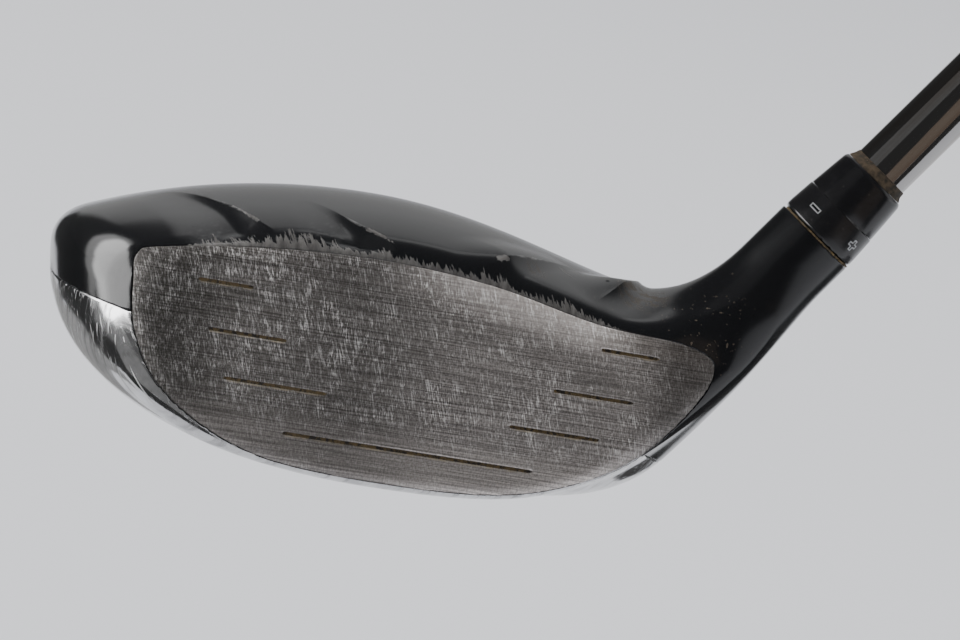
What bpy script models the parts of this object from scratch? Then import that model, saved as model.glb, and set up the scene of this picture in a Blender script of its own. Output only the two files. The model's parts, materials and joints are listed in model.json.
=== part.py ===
"""Fairway wood with an adjustable hosel: a right-handed club standing at address.

The origin is the point of the sole that rests on the ground.  +Z is up, the toe points to -X,
the heel to +X, and the face looks to -Y.  The shaft leans over the heel at the lie angle.
Sizes below are millimetres and degrees; MM turns them into Blender's metres.
"""
import math

import bmesh
import bpy
import numpy as np
from mathutils import Matrix, Vector

MM = 0.001

# --- Club -------------------------------------------------------------------------------------
LIE = math.radians(57.0)
LOFT = math.radians(17.0)
CLUB_LENGTH = 1066.8                     # 42 in, from the heel's ground point to the grip's end
GAP = 0.3                                # clearance between neighbouring pieces
ROUND = 24                               # sides of a turned piece

# --- Head: the face, and the crown, sole and plan curves around it ------------------------------
# A bend is a pair: how fast a curve falls with the square and with the fourth power of distance.
FACE_CENTRE = (0.0, -17.5, 17.0)
FACE_RADIUS = 300.0                      # bulge and roll
FACE_EDGE = 2.5                          # width of the rounded edge round the face
FACE_THICKNESS = 2.2
CROWN_HEIGHT = 34.9
CROWN_PEAK = (-4.6, -1.2)                # where the crown is highest
CROWN_TOE_BEND, CROWN_HEEL_BEND = (0.0051, 1.9e-7), (0.0068, -1.5e-6)
CROWN_FRONT_BEND, CROWN_BACK_BEND = (0.0153, 0.0), (0.0069, 2.5e-7)
SOLE_LOW = (-5.2, 8.0, -2.0)             # x of the sole's low line, and the y where it starts to rise
SOLE_TOE_BEND, SOLE_HEEL_BEND = (0.0040, 2.8e-7), (0.0016, 3.9e-6)
SOLE_FRONT_BEND, SOLE_BACK_BEND = (0.0043, 0.0), (0.0038, 0.0)
SOLE_DIP = 0.15                          # how far the curved sole would pass below the ground flat
PLAN_CENTRE = (2.2, 10.0)
PLAN_TOE, PLAN_HEEL = 51.1, 45.5
PLAN_FRONT, PLAN_BACK = 40.2, 48.0
PLAN_POWER = 2.42
PLAN_SIZE = 44.0                         # turns the plan curve's ratio into a distance
SKIRT_HEIGHT = 21.6                      # where the skirt is widest
SKIRT_BULGE = 0.0112
CROWN_ROUNDING, SOLE_ROUNDING = 3.7, 4.4
WALL = 1.5
SEAM_HEIGHT, SEAM_HEEL_FALL, SEAM_BACK_FALL = 14.0, 0.06, 0.16
HEAD_SPAN = 80.0
HEAD_BOX = (-56.0, -35.6, -7.0), (72.0, 66.0, 62.0)
HEAD_CELL, CAVITY_CELL = 3.4, 5.0        # mesh size of the outer skin and of the cavity

# --- Hosel: heights are measured along its axis from the ground point --------------------------
HOSEL_GROUND = (26.4, -3.0, 0.0)
HOSEL_MOUTH = 50.6
HOSEL_RADIUS = 6.2
HOSEL_FLARE = 1.1e-4
HOSEL_BOTTOM = 2.6                       # height above the ground of the tube's lower end
HOSEL_BOTTOM_BEND, HOSEL_END_ROUNDING = 0.0046, 6.0
HOSEL_FILLET = 11.7
FACE_END, FACE_END_BEND = 29.0, 0.04     # the face's plane bends clear of the hosel above this
TUBE_RADIUS = 6.5                        # the tube inside the head
BORE_RADIUS = 5.45
WEB_LOW, WEB_HIGH = 11.5, 14.0           # the web that the screw pulls against
RECESS_RADIUS = 4.3
SCREW_RADIUS, SCREW_HEAD_RADIUS = 2.5, 3.5
SCREW_LOW, SCREW_HEAD_TOP, SCREW_TOP = 5.9, 9.9, 26.0
CLEAR_HOLE = SCREW_RADIUS + GAP
KEYS = 6
KEY_ANGLE = math.radians(9.0)            # half the width of a key
SLEEVE_CORE, SLEEVE_KEY = 3.8, 4.4
SLEEVE_LOW, SLEEVE_STEP = 17.0, 27.0
SLEEVE_RADIUS, SLEEVE_BORE = 5.1, 4.6
SLEEVE_TOP = 55.7
FERRULE_TOP = 62.1
BEAD_TOP = 64.2

# --- Shaft and grip ------------------------------------------------------------------------------
SHAFT_TIP_RADIUS = 4.25                  # 0.335 in tip
SHAFT_WALL = 0.4
SHAFT_LOW, SHAFT_TOP = 28.3, 1061.0
STEP_START, STEP_LENGTH, STEP_COUNT, STEP_RISE = 250.0, 34.0, 16, 0.209
GRIP_LOW, GRIP_TOP = 800.0, 1062.0
GRIP_MOUTH_RADIUS, GRIP_BUTT_RADIUS = 9.2, 13.3
GRIP_TAPER = 1.4                         # how late the grip widens towards its butt
BAND_STEP, BAND_DROP, BAND_LENGTH = 9, 29.0, 24.0
VENT_RADIUS = 1.5

# --- Sole weight ---------------------------------------------------------------------------------
WEIGHT_PLACE = (0.0, 22.0, 0.64)         # on the curved sole
WEIGHT_TILT = math.radians(6.1)          # square to the sole there
PORT_RADIUS = 10.0
PORT_LOW, PORT_SEAT, PORT_TOP = 0.5, 4.1, 9.0
WEIGHT_HEAD, WEIGHT_SHANK = 7.8, 6.0
BACK_WEIGHT_PLACE = (0.0, 38.0, 8.2)     # the low corner height of the bar welded inside
GLUE_PLACE = (-24.0, 12.0, 6.2)


# --- Scene and materials -------------------------------------------------------------------------
def clear_scene():
    for item in list(bpy.data.objects):
        bpy.data.objects.remove(item, do_unlink=True)


def material(name, colour, roughness, metallic):
    made = bpy.data.materials.new(name)
    made.use_nodes = True
    shader = made.node_tree.nodes["Principled BSDF"]
    shader.inputs["Base Color"].default_value = (*colour, 1.0)
    shader.inputs["Roughness"].default_value = roughness
    shader.inputs["Metallic"].default_value = metallic
    return made


def add_object(name, mesh, surface=None, parent=None, smooth=True):
    item = bpy.data.objects.new(name, mesh)
    bpy.context.scene.collection.objects.link(item)
    if surface:
        mesh.materials.append(surface)
    if smooth:
        mesh.shade_smooth()
        mesh.set_sharp_from_angle(angle=math.radians(30.0))
    item.parent = parent
    return item


def axis_empty(name, place, angle, about):
    """An empty whose local Z is the axis of the pieces turned on it."""
    empty = bpy.data.objects.new(name, None)
    bpy.context.scene.collection.objects.link(empty)
    empty.matrix_world = Matrix.Translation(Vector(place) * MM) @ Matrix.Rotation(angle, 4, about)
    return empty


def hide_guide(item):
    item.hide_render = True
    item.display_type = "WIRE"
    return item


def boolean(item, tool, operation):
    change = item.modifiers.new(operation.lower() + "_" + tool.name, "BOOLEAN")
    change.operation = operation
    change.solver = "EXACT"
    change.object = tool


def mesh_from(name, points, faces):
    """A mesh of triangles from points in millimetres, with its normals turned outwards."""
    mesh = bpy.data.meshes.new(name)
    mesh.from_pydata([tuple(MM * float(value) for value in point) for point in points], [], faces)
    shape = bmesh.new()
    shape.from_mesh(mesh)
    bmesh.ops.recalc_face_normals(shape, faces=shape.faces)
    bmesh.ops.triangulate(shape, faces=shape.faces)
    shape.to_mesh(mesh)
    shape.free()
    return mesh


# --- Turned and extruded pieces ------------------------------------------------------------------
def turned(name, profile, surface=None, parent=None, sides=ROUND):
    """Revolve a closed outline of (radius, height) round the local Z axis."""
    shape = bmesh.new()
    corners = [shape.verts.new((radius * MM, 0.0, height * MM)) for radius, height in profile]
    edges = [shape.edges.new((corners[i - 1], corners[i])) for i in range(len(corners))]
    bmesh.ops.spin(shape, geom=corners + edges, cent=(0, 0, 0), axis=(0, 0, 1), dvec=(0, 0, 0),
                   angle=2 * math.pi, steps=sides, use_merge=True, use_duplicate=False)
    bmesh.ops.remove_doubles(shape, verts=shape.verts, dist=1e-7)
    on_axis = [edge for edge in shape.edges if not edge.link_faces]
    bmesh.ops.delete(shape, geom=on_axis, context="EDGES")
    bmesh.ops.recalc_face_normals(shape, faces=shape.faces)
    mesh = bpy.data.meshes.new(name)
    shape.to_mesh(mesh)
    shape.free()
    return add_object(name, mesh, surface, parent)


def ring_profile(inner, outer, low, high):
    return [(inner, low), (outer, low), (outer, high), (inner, high)]


def rod_profile(radius, low, high):
    return [(0.0, low), (radius, low), (radius, high), (0.0, high)]


def extruded(name, outline, low, high, surface=None, parent=None):
    """Extrude an outline of (x, y) from one height to another."""
    shape = bmesh.new()
    corners = [shape.verts.new((x * MM, y * MM, low * MM)) for x, y in outline]
    base = shape.faces.new(corners)
    lifted = bmesh.ops.extrude_face_region(shape, geom=[base])
    moved = [part for part in lifted["geom"] if isinstance(part, bmesh.types.BMVert)]
    bmesh.ops.translate(shape, verts=moved, vec=(0, 0, (high - low) * MM))
    bmesh.ops.recalc_face_normals(shape, faces=shape.faces)
    mesh = bpy.data.meshes.new(name)
    shape.to_mesh(mesh)
    shape.free()
    return add_object(name, mesh, surface, parent, smooth=False)


def keyed_outline(core, key, half_angle):
    """A round outline with evenly spaced keys standing out of it."""
    outline = []
    for number in range(KEYS):
        middle = 2 * math.pi * number / KEYS
        between = math.pi / KEYS
        stations = [(-half_angle, core), (-half_angle, key), (half_angle, key), (half_angle, core),
                    (between, core)]
        outline += [(radius * math.cos(middle + turn), radius * math.sin(middle + turn))
                    for turn, radius in stations]
    return outline


def lobed_outline(radius, depth, lobes=6, points=36):
    """The six-lobed outline of a driver socket."""
    angles = [2 * math.pi * i / points for i in range(points)]
    return [((radius + depth * math.cos(lobes * a)) * math.cos(a),
             (radius + depth * math.cos(lobes * a)) * math.sin(a)) for a in angles]


# --- The head's surface as a function ------------------------------------------------------------
def soft_max(a, b, width):
    blend = np.clip(width - np.abs(a - b), 0, None) / width
    return np.maximum(a, b) + blend * blend * width / 4


def soft_min(a, b, width):
    return -soft_max(-a, -b, width)


def either_side(value, middle):
    """How far a value lies below and above its middle, each counted from zero."""
    return np.clip(middle - value, 0, None), np.clip(value - middle, 0, None)


def bend(distance, pair):
    return pair[0] * distance**2 + pair[1] * distance**4


def crown_height(x, y):
    toe, heel = either_side(x, CROWN_PEAK[0])
    front, back = either_side(y, CROWN_PEAK[1])
    return (CROWN_HEIGHT - bend(toe, CROWN_TOE_BEND) - bend(heel, CROWN_HEEL_BEND)
            - bend(front, CROWN_FRONT_BEND) - bend(back, CROWN_BACK_BEND))


def sole_height(x, y):
    toe, heel = either_side(x, SOLE_LOW[0])
    front, back = np.clip(SOLE_LOW[2] - y, 0, None), np.clip(y - SOLE_LOW[1], 0, None)
    return (bend(toe, SOLE_TOE_BEND) + bend(heel, SOLE_HEEL_BEND)
            + bend(front, SOLE_FRONT_BEND) + bend(back, SOLE_BACK_BEND) - SOLE_DIP)


def true_distance(height, x, y, step=0.5):
    """The factor that turns a height above a sloping sheet into a distance from it."""
    slope_x = (height(x + step, y) - height(x - step, y)) / (2 * step)
    slope_y = (height(x, y + step) - height(x, y - step)) / (2 * step)
    return 1 / np.sqrt(1 + slope_x**2 + slope_y**2)


def plan_distance(x, y, z):
    across = x - PLAN_CENTRE[0]
    along = y - PLAN_CENTRE[1]
    across = np.where(across < 0, across / PLAN_TOE, across / PLAN_HEEL)
    along = np.where(along < 0, along / PLAN_FRONT, along / PLAN_BACK)
    size = (np.abs(across)**PLAN_POWER + np.abs(along)**PLAN_POWER + 1e-9)**(1 / PLAN_POWER)
    return (size - 1) * PLAN_SIZE + SKIRT_BULGE * (z - SKIRT_HEIGHT)**2


def face_normal():
    return np.array([0.0, -math.cos(LOFT), math.sin(LOFT)])


def face_up():
    return np.array([0.0, math.sin(LOFT), math.cos(LOFT)])


def face_distance(points):
    offset = points - np.array(FACE_CENTRE)
    up = offset @ face_up()
    return offset @ face_normal() + (offset[..., 0]**2 + up**2) / (2 * FACE_RADIUS)


def hosel_axis():
    return np.array([math.cos(LIE), 0.0, math.sin(LIE)])


def hosel_place(points):
    """Each point's height along the hosel's axis and its distance from the axis."""
    offset = points - np.array(HOSEL_GROUND)
    height = offset @ hosel_axis()
    return height, np.linalg.norm(offset - height[..., None] * hosel_axis(), axis=-1)


def body_surface(points):
    """Negative inside the head's body, without the hosel and uncut by the face."""
    x, y, z = points[..., 0], points[..., 1], points[..., 2]
    crown = (z - crown_height(x, y)) * true_distance(crown_height, x, y)
    sole = (sole_height(x, y) - z) * true_distance(sole_height, x, y)
    return soft_max(soft_max(crown, plan_distance(x, y, z), CROWN_ROUNDING), sole, SOLE_ROUNDING)


def hosel_surface(points):
    height, radius = hosel_place(points)
    wall = HOSEL_RADIUS + HOSEL_FLARE * np.clip(HOSEL_MOUTH - height, 0, None)**2
    bottom = HOSEL_BOTTOM + HOSEL_BOTTOM_BEND * (points[..., 0] - HOSEL_GROUND[0])**2
    return soft_max(radius - wall, bottom - points[..., 2], HOSEL_END_ROUNDING)


def head_surface(points):
    """Negative inside the whole head; its hosel runs on past the mouth, which is cut later."""
    whole = soft_min(body_surface(points), hosel_surface(points), HOSEL_FILLET)
    height = hosel_place(points)[0]
    clear_of_hosel = FACE_END_BEND * np.clip(height - FACE_END, 0, None)**2
    whole = soft_max(whole, face_distance(points) - clear_of_hosel, FACE_EDGE)
    return np.maximum(whole, height - HOSEL_MOUTH - 2 * HEAD_CELL)


def cavity_surface(points):
    return body_surface(points) + WALL


def seam_height(x, y):
    """The joint line between the black upper body and the polished sole."""
    toe_share = 0.5 - x / HEAD_SPAN
    return SEAM_HEIGHT - SEAM_HEEL_FALL * x - SEAM_BACK_FALL * y * toe_share


# --- Meshing a surface function ------------------------------------------------------------------
def cell_points(values, cells, low, cell):
    """One point in each crossed cell: the mean of the places where its edges cross the surface."""
    total = np.zeros((len(cells), 3))
    count = np.zeros(len(cells))
    for axis in range(3):
        others = [other for other in range(3) if other != axis]
        for first in (0, 1):
            for second in (0, 1):
                start = cells.copy()
                start[:, others[0]] += first
                start[:, others[1]] += second
                end = start.copy()
                end[:, axis] += 1
                value, next_value = values[tuple(start.T)], values[tuple(end.T)]
                crosses = (value < 0) != (next_value < 0)
                crossing = start[crosses].astype(float)
                crossing[:, axis] += value[crosses] / (value[crosses] - next_value[crosses])
                total[crosses] += crossing
                count[crosses] += 1
    return total / count[:, None] * cell + low


def crossing_quads(inside, numbers):
    """A quad round each grid edge that crosses the surface, facing outwards."""
    quads = []
    for axis, (first, second) in enumerate([(1, 2), (2, 0), (0, 1)]):
        near = [slice(1, -1)] * 3
        near[axis] = slice(0, -1)
        far = list(near)
        far[axis] = slice(1, None)
        edges = np.argwhere(inside[tuple(near)] != inside[tuple(far)])
        edges[:, [other for other in range(3) if other != axis]] += 1
        corners = []
        for step_first, step_second in [(-1, -1), (0, -1), (0, 0), (-1, 0)]:
            corner = edges.copy()
            corner[:, first] += step_first
            corner[:, second] += step_second
            corners.append(numbers[tuple(corner.T)])
        quad = np.stack(corners, -1)
        leaving = inside[tuple(edges.T)]
        quad[~leaving] = quad[~leaving][:, ::-1]
        quads.append(quad)
    return np.concatenate(quads)


def pull_to_surface(points, surface, reach, rounds=4, step=0.05):
    """Move points along the surface function's slope until they lie on the surface."""
    for _ in range(rounds):
        slope = np.stack([(surface(points + axis) - surface(points - axis)) / (2 * step)
                          for axis in np.eye(3) * step], -1)
        distance = surface(points) / (np.sum(slope * slope, -1) + 1e-9)
        points = points - np.clip(distance, -reach, reach)[:, None] * slope
    return points


def skin(name, surface, low, high, cell):
    """A closed mesh of the zero surface of a function, in even quads."""
    axes = [np.arange(low[i], high[i] + cell, cell) for i in range(3)]
    grid = np.stack(np.meshgrid(*axes, indexing="ij"), -1)
    values = surface(grid)
    inside = values < 0
    span = [size - 1 for size in inside.shape]
    corners = sum(inside[i:span[0] + i, j:span[1] + j, k:span[2] + k].astype(int)
                  for i in (0, 1) for j in (0, 1) for k in (0, 1))
    crossed = (corners > 0) & (corners < 8)
    cells = np.argwhere(crossed)
    numbers = np.full(crossed.shape, -1)
    numbers[tuple(cells.T)] = np.arange(len(cells))
    points = cell_points(values, cells, np.array(low), cell)
    points = pull_to_surface(points, surface, cell / 2)
    quads = crossing_quads(inside, numbers)
    return mesh_from(name, points, [tuple(int(i) for i in quad) for quad in quads])


# --- Cutters for the head ------------------------------------------------------------------------
def face_outline(points_per_span=3):
    """A smooth closed outline of the face, as (across, up) from the face's centre."""
    corners = [(-41.4, 7.4), (-38.5, 11.7), (-26.7, 14.0), (-6.0, 15.0), (8.4, 13.9), (23.4, 11.2),
               (37.1, 10.3), (41.5, 7.2), (37.5, -0.6), (29.7, -8.1), (15.9, -13.6), (-1.0, -15.0),
               (-20.8, -13.9), (-34.0, -8.0), (-39.9, -0.3)]
    outline = []
    for i in range(len(corners)):
        a, b, c, d = (np.array(corners[(i + k - 1) % len(corners)]) for k in range(4))
        for t in np.arange(points_per_span) / points_per_span:
            outline.append(0.5 * (2 * b + (c - a) * t + (2 * a - 5 * b + 4 * c - d) * t**2
                                  + (3 * b - a - 3 * c + d) * t**3))
    return np.array(outline)


def open_outline(outline, near, far):
    """Grow an outline: a little round the heel, and past the head's edge everywhere else."""
    along = np.roll(outline, -1, 0) - np.roll(outline, 1, 0)
    outward = np.stack([along[:, 1], -along[:, 0]], -1)
    outward /= -np.linalg.norm(outward, axis=1)[:, None]
    share = np.clip((32.0 - outline[:, 0]) / 12.0, 0, 1)
    return outline + outward * (near + (far - near) * share)[:, None]


def face_block(name, outline, depth):
    """A solid in front of a sheet that follows the face at a depth, within an outline."""
    rings = (1.0, 0.65, 0.3)
    front = 14.0
    points = []
    for size in rings:
        for across, up in outline * size:
            bow = (across**2 + up**2) / (2 * FACE_RADIUS)
            points.append(np.array(FACE_CENTRE) + np.array([across, 0, 0]) + up * face_up()
                          - (depth + bow) * face_normal())
    points.append(np.array(FACE_CENTRE) - depth * face_normal())
    for across, up in outline:
        points.append(np.array(FACE_CENTRE) + np.array([across, 0, 0]) + up * face_up()
                      + front * face_normal())
    count = len(outline)
    centre = len(rings) * count
    faces = []
    for i in range(count):
        j = (i + 1) % count
        for ring in range(len(rings) - 1):
            base = ring * count
            faces.append((base + i, base + j, base + count + j, base + count + i))
        last = (len(rings) - 1) * count
        faces.append((last + i, last + j, centre))
        faces.append((centre + 1 + i, centre + 1 + j, j, i))
    faces.append(tuple(centre + 1 + i for i in range(count)))
    return hide_guide(add_object(name, mesh_from(name, points, faces), smooth=False))


def ground_block(name, height, shift, steps=5):
    """A solid below a sheet z = height(x, y), wide enough to hold the head."""
    side = 2 * HEAD_SPAN
    floor = -30.0
    shape = bmesh.new()
    bmesh.ops.create_grid(shape, x_segments=steps, y_segments=steps, size=side / 2)
    sheet = list(shape.faces)
    lifted = bmesh.ops.extrude_face_region(shape, geom=sheet, use_keep_orig=True)
    top = {part for part in lifted["geom"] if isinstance(part, bmesh.types.BMVert)}
    for corner in shape.verts:
        y = corner.co.y + PLAN_CENTRE[1]
        z = height(corner.co.x, y) + shift if corner in top else floor
        corner.co = Vector((corner.co.x * MM, y * MM, z * MM))
    bmesh.ops.recalc_face_normals(shape, faces=shape.faces)
    bmesh.ops.triangulate(shape, faces=shape.faces)
    mesh = bpy.data.meshes.new(name)
    shape.to_mesh(mesh)
    shape.free()
    return hide_guide(add_object(name, mesh, smooth=False))


def level_ground(_x, _y):
    return 0.0


# --- The pieces ----------------------------------------------------------------------------------
def make_head(hosel, weight, looks):
    """Upper body, sole plate and face plate, cut from one skin."""
    outer = skin("head_skin", head_surface, *HEAD_BOX, HEAD_CELL)
    cavity = hide_guide(add_object("cavity", skin("cavity", cavity_surface, *HEAD_BOX, CAVITY_CELL)))
    tube = hide_guide(turned("tube_space", rod_profile(TUBE_RADIUS, -20, 80), parent=hosel))
    boolean(cavity, tube, "DIFFERENCE")
    outline = face_outline()
    plate_space = face_block("plate_space", outline, FACE_THICKNESS)
    face_opening = face_block("face_opening", open_outline(outline, GAP, 6.0), FACE_THICKNESS + GAP)
    sole_space = ground_block("sole_space", seam_height, -GAP / 2)
    below_seam = ground_block("below_seam", seam_height, GAP / 2)
    lower_tube = hide_guide(turned("lower_tube", rod_profile(TUBE_RADIUS - 0.2, -40, 90), parent=hosel))
    boolean(below_seam, lower_tube, "DIFFERENCE")
    ground = ground_block("ground", level_ground, 0.0, steps=1)
    bore_profile = [(0, -20), (RECESS_RADIUS, -20), (RECESS_RADIUS, WEB_LOW), (CLEAR_HOLE, WEB_LOW),
                    (CLEAR_HOLE, WEB_HIGH), (BORE_RADIUS, WEB_HIGH), (BORE_RADIUS, 80), (0, 80)]
    bore = hide_guide(turned("bore_space", bore_profile, parent=hosel))
    mouth = hide_guide(turned("mouth_space", rod_profile(30, HOSEL_MOUTH, 80), parent=hosel))
    tube_hole = hide_guide(turned("tube_hole", rod_profile(TUBE_RADIUS + GAP, -20, 80), parent=hosel))
    port_hole = hide_guide(turned("port_hole", rod_profile(PORT_RADIUS + GAP, -10, 20), parent=weight))

    upper = add_object("upper_body", outer.copy(), looks["black"])
    for tool in (cavity, face_opening, below_seam, bore, mouth):
        boolean(upper, tool, "DIFFERENCE")
    sole = add_object("sole_plate", outer.copy(), looks["polished"])
    boolean(sole, sole_space, "INTERSECT")
    for tool in (cavity, face_opening, tube_hole, port_hole, ground):
        boolean(sole, tool, "DIFFERENCE")
    plate = add_object("face_plate", outer.copy(), looks["brushed"])
    boolean(plate, plate_space, "INTERSECT")


def make_head_fittings(hosel, weight, looks):
    """What the head holds: the keyed liner, the captive screw, the weight port and its weights."""
    liner = turned("hosel_liner", ring_profile(SLEEVE_CORE + GAP, BORE_RADIUS - GAP, 16, SLEEVE_STEP - 1),
                   looks["aluminium"], hosel)
    keyway = keyed_outline(SLEEVE_CORE + GAP, SLEEVE_KEY + GAP, KEY_ANGLE * 1.4)
    cut = hide_guide(extruded("keyway_space", keyway, 10, 40, parent=hosel))
    boolean(liner, cut, "DIFFERENCE")

    profile = [(0, SCREW_LOW), (SCREW_HEAD_RADIUS, SCREW_LOW), (SCREW_HEAD_RADIUS, SCREW_HEAD_TOP),
               (SCREW_RADIUS, SCREW_HEAD_TOP), (SCREW_RADIUS, SCREW_TOP - 0.8),
               (SCREW_RADIUS - 0.8, SCREW_TOP), (0, SCREW_TOP)]
    screw = turned("hosel_screw", profile, looks["steel"], hosel)
    socket = hide_guide(extruded("socket_space", lobed_outline(1.75, 0.25), 0, SCREW_LOW + 2.4,
                                 parent=hosel))
    boolean(screw, socket, "DIFFERENCE")
    turned("screw_washer", ring_profile(CLEAR_HOLE, 4.0, SCREW_HEAD_TOP + GAP, WEB_LOW - GAP),
           looks["steel"], hosel)
    retainer = turned("screw_retainer", ring_profile(CLEAR_HOLE, 4.6, WEB_HIGH + GAP, WEB_HIGH + 1.3),
                      looks["steel"], hosel)
    slit = [(0, -0.6), (8, -0.6), (8, 0.6), (0, 0.6)]
    boolean(retainer, hide_guide(extruded("clip_slit", slit, 10, 20, parent=hosel)), "DIFFERENCE")

    thread_hole = WEIGHT_SHANK + GAP
    counterbore = WEIGHT_HEAD + GAP
    turned("weight_port", [(thread_hole, PORT_SEAT), (counterbore, PORT_SEAT), (counterbore, PORT_LOW),
                           (PORT_RADIUS, PORT_LOW), (PORT_RADIUS, PORT_TOP), (thread_hole, PORT_TOP)],
           looks["steel"], weight)
    head_low, head_top = PORT_LOW + GAP, PORT_SEAT - 1.4
    plug = turned("weight_screw", [(0, head_low), (WEIGHT_HEAD - 0.6, head_low),
                                   (WEIGHT_HEAD, head_low + 0.6), (WEIGHT_HEAD, head_top),
                                   (WEIGHT_SHANK, head_top), (WEIGHT_SHANK, PORT_TOP - 0.4),
                                   (0, PORT_TOP - 0.4)], looks["steel"], weight)
    turned("weight_washer", ring_profile(WEIGHT_SHANK + GAP, WEIGHT_HEAD - 0.2, head_top + GAP,
                                         PORT_SEAT - GAP), looks["rubber"], weight)
    driver = hide_guide(extruded("driver_space", lobed_outline(2.4, 0.35), -5, head_low + 1.4,
                                 parent=weight))
    boolean(plug, driver, "DIFFERENCE")

    bar = [(-15, 0), (-11, -4), (11, -4), (15, 0), (11, 4), (-11, 4)]
    back = extruded("back_weight", bar, 0, 4.5, looks["steel"])
    back.location = Vector(BACK_WEIGHT_PLACE) * MM
    glue = turned("glue_pad", [(0, 0), (8, 0), (7.4, 0.9), (5, 1.9), (0, 2.4)], looks["glue"], sides=16)
    glue.location = Vector(GLUE_PLACE) * MM


def make_sleeve_and_shaft(hosel, looks):
    """The pieces that stay on the shaft when the head comes off."""
    collar = HOSEL_MOUTH + GAP
    sleeve = turned("sleeve", [(CLEAR_HOLE, SLEEVE_LOW), (SLEEVE_CORE, SLEEVE_LOW),
                               (SLEEVE_CORE, SLEEVE_STEP), (SLEEVE_RADIUS, SLEEVE_STEP + 0.8),
                               (SLEEVE_RADIUS, collar), (5.7, collar), (6.15, collar + 0.7),
                               (5.85, SLEEVE_TOP), (SLEEVE_BORE, SLEEVE_TOP), (SLEEVE_BORE, 28),
                               (CLEAR_HOLE, 28)], looks["black"], hosel)
    keys = hide_guide(extruded("sleeve_keys", keyed_outline(SLEEVE_CORE - 0.3, SLEEVE_KEY, KEY_ANGLE),
                               SLEEVE_LOW + 0.5, SLEEVE_STEP - 0.9, parent=hosel))
    key_bore = hide_guide(turned("key_bore", rod_profile(CLEAR_HOLE, 10, 27.5), parent=hosel))
    boolean(sleeve, keys, "UNION")
    boolean(sleeve, key_bore, "DIFFERENCE")
    low = SLEEVE_TOP + GAP
    turned("ferrule", [(SLEEVE_BORE, low), (5.78, low), (5.5, low + 3.4), (5.3, FERRULE_TOP - 0.7),
                       (4.95, FERRULE_TOP), (SLEEVE_BORE, FERRULE_TOP)], looks["black_plastic"], hosel)
    turned("epoxy_bead", [(SLEEVE_BORE, FERRULE_TOP + GAP), (5.0, FERRULE_TOP + GAP),
                          (4.95, FERRULE_TOP + 1.2), (4.7, BEAD_TOP), (SLEEVE_BORE, BEAD_TOP)],
           looks["bead"], hosel)

    outer = [(SHAFT_TIP_RADIUS, SHAFT_LOW)]
    for step in range(STEP_COUNT):
        height = STEP_START + step * STEP_LENGTH
        outer.append((SHAFT_TIP_RADIUS + step * STEP_RISE, height))
        outer.append((SHAFT_TIP_RADIUS + (step + 1) * STEP_RISE, height + 2))
    outer.append((outer[-1][0], SHAFT_TOP))
    inner = [(radius - SHAFT_WALL, height) for radius, height in
             (outer[-1], (outer[-1][0], STEP_START + STEP_COUNT * STEP_LENGTH),
              (SHAFT_TIP_RADIUS, STEP_START), outer[0])]
    turned("shaft", outer + inner, looks["chrome"], hosel, sides=16)
    turned("tip_plug", rod_profile(3.3, SHAFT_LOW + GAP, SHAFT_LOW + 12), looks["brass"], hosel, 16)

    band_low = STEP_START + BAND_STEP * STEP_LENGTH - BAND_DROP
    band_radius = SHAFT_TIP_RADIUS + BAND_STEP * STEP_RISE
    turned("shaft_band", ring_profile(band_radius + GAP, band_radius + 0.5, band_low,
                                      band_low + BAND_LENGTH), looks["band"], hosel)

    butt = SHAFT_TIP_RADIUS + STEP_COUNT * STEP_RISE
    turned("grip_tape", ring_profile(butt + GAP, butt + 0.55, GRIP_LOW + 3, GRIP_TOP - 3),
           looks["tape"], hosel)
    bore = butt + 0.9
    span = GRIP_TOP - GRIP_LOW
    spread = GRIP_BUTT_RADIUS - GRIP_MOUTH_RADIUS
    stations = [GRIP_LOW + span * share for share in (0.02, 0.2, 0.4, 0.6, 0.8, 1.0)]
    side = [(GRIP_MOUTH_RADIUS + spread * ((height - GRIP_LOW) / span)**GRIP_TAPER, height)
            for height in stations]
    turned("grip", [(bore, GRIP_LOW), (GRIP_MOUTH_RADIUS - 0.4, GRIP_LOW)] + side + [(bore, GRIP_TOP)],
           looks["rubber"], hosel)
    cap_low = GRIP_TOP + GAP
    turned("grip_cap", [(VENT_RADIUS, cap_low), (GRIP_BUTT_RADIUS, cap_low),
                        (GRIP_BUTT_RADIUS, CLUB_LENGTH - 1.5), (GRIP_BUTT_RADIUS - 1.5, CLUB_LENGTH),
                        (VENT_RADIUS, CLUB_LENGTH)], looks["rubber"], hosel)


def make_club():
    clear_scene()
    looks = {
        "black": material("black_paint", (0.012, 0.012, 0.013), 0.3, 0.0),
        "black_plastic": material("black_plastic", (0.015, 0.015, 0.016), 0.35, 0.0),
        "polished": material("polished_steel", (0.6, 0.6, 0.61), 0.15, 1.0),
        "brushed": material("brushed_steel", (0.22, 0.21, 0.2), 0.4, 1.0),
        "steel": material("screw_steel", (0.4, 0.4, 0.41), 0.35, 1.0),
        "aluminium": material("aluminium", (0.6, 0.6, 0.62), 0.4, 1.0),
        "chrome": material("chrome", (0.7, 0.7, 0.7), 0.08, 1.0),
        "brass": material("brass", (0.6, 0.45, 0.2), 0.35, 1.0),
        "rubber": material("rubber", (0.02, 0.02, 0.02), 0.7, 0.0),
        "tape": material("paper_tape", (0.65, 0.6, 0.5), 0.8, 0.0),
        "band": material("band_film", (0.05, 0.05, 0.055), 0.3, 0.0),
        "bead": material("old_epoxy", (0.16, 0.11, 0.07), 0.6, 0.0),
        "glue": material("hot_melt", (0.55, 0.45, 0.25), 0.5, 0.0),
    }
    hosel = axis_empty("hosel_axis", HOSEL_GROUND, math.pi / 2 - LIE, "Y")
    weight = axis_empty("weight_axis", WEIGHT_PLACE, WEIGHT_TILT, "X")
    make_head(hosel, weight, looks)
    make_head_fittings(hosel, weight, looks)
    make_sleeve_and_shaft(hosel, looks)
    bpy.context.view_layer.update()


make_club()
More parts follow.
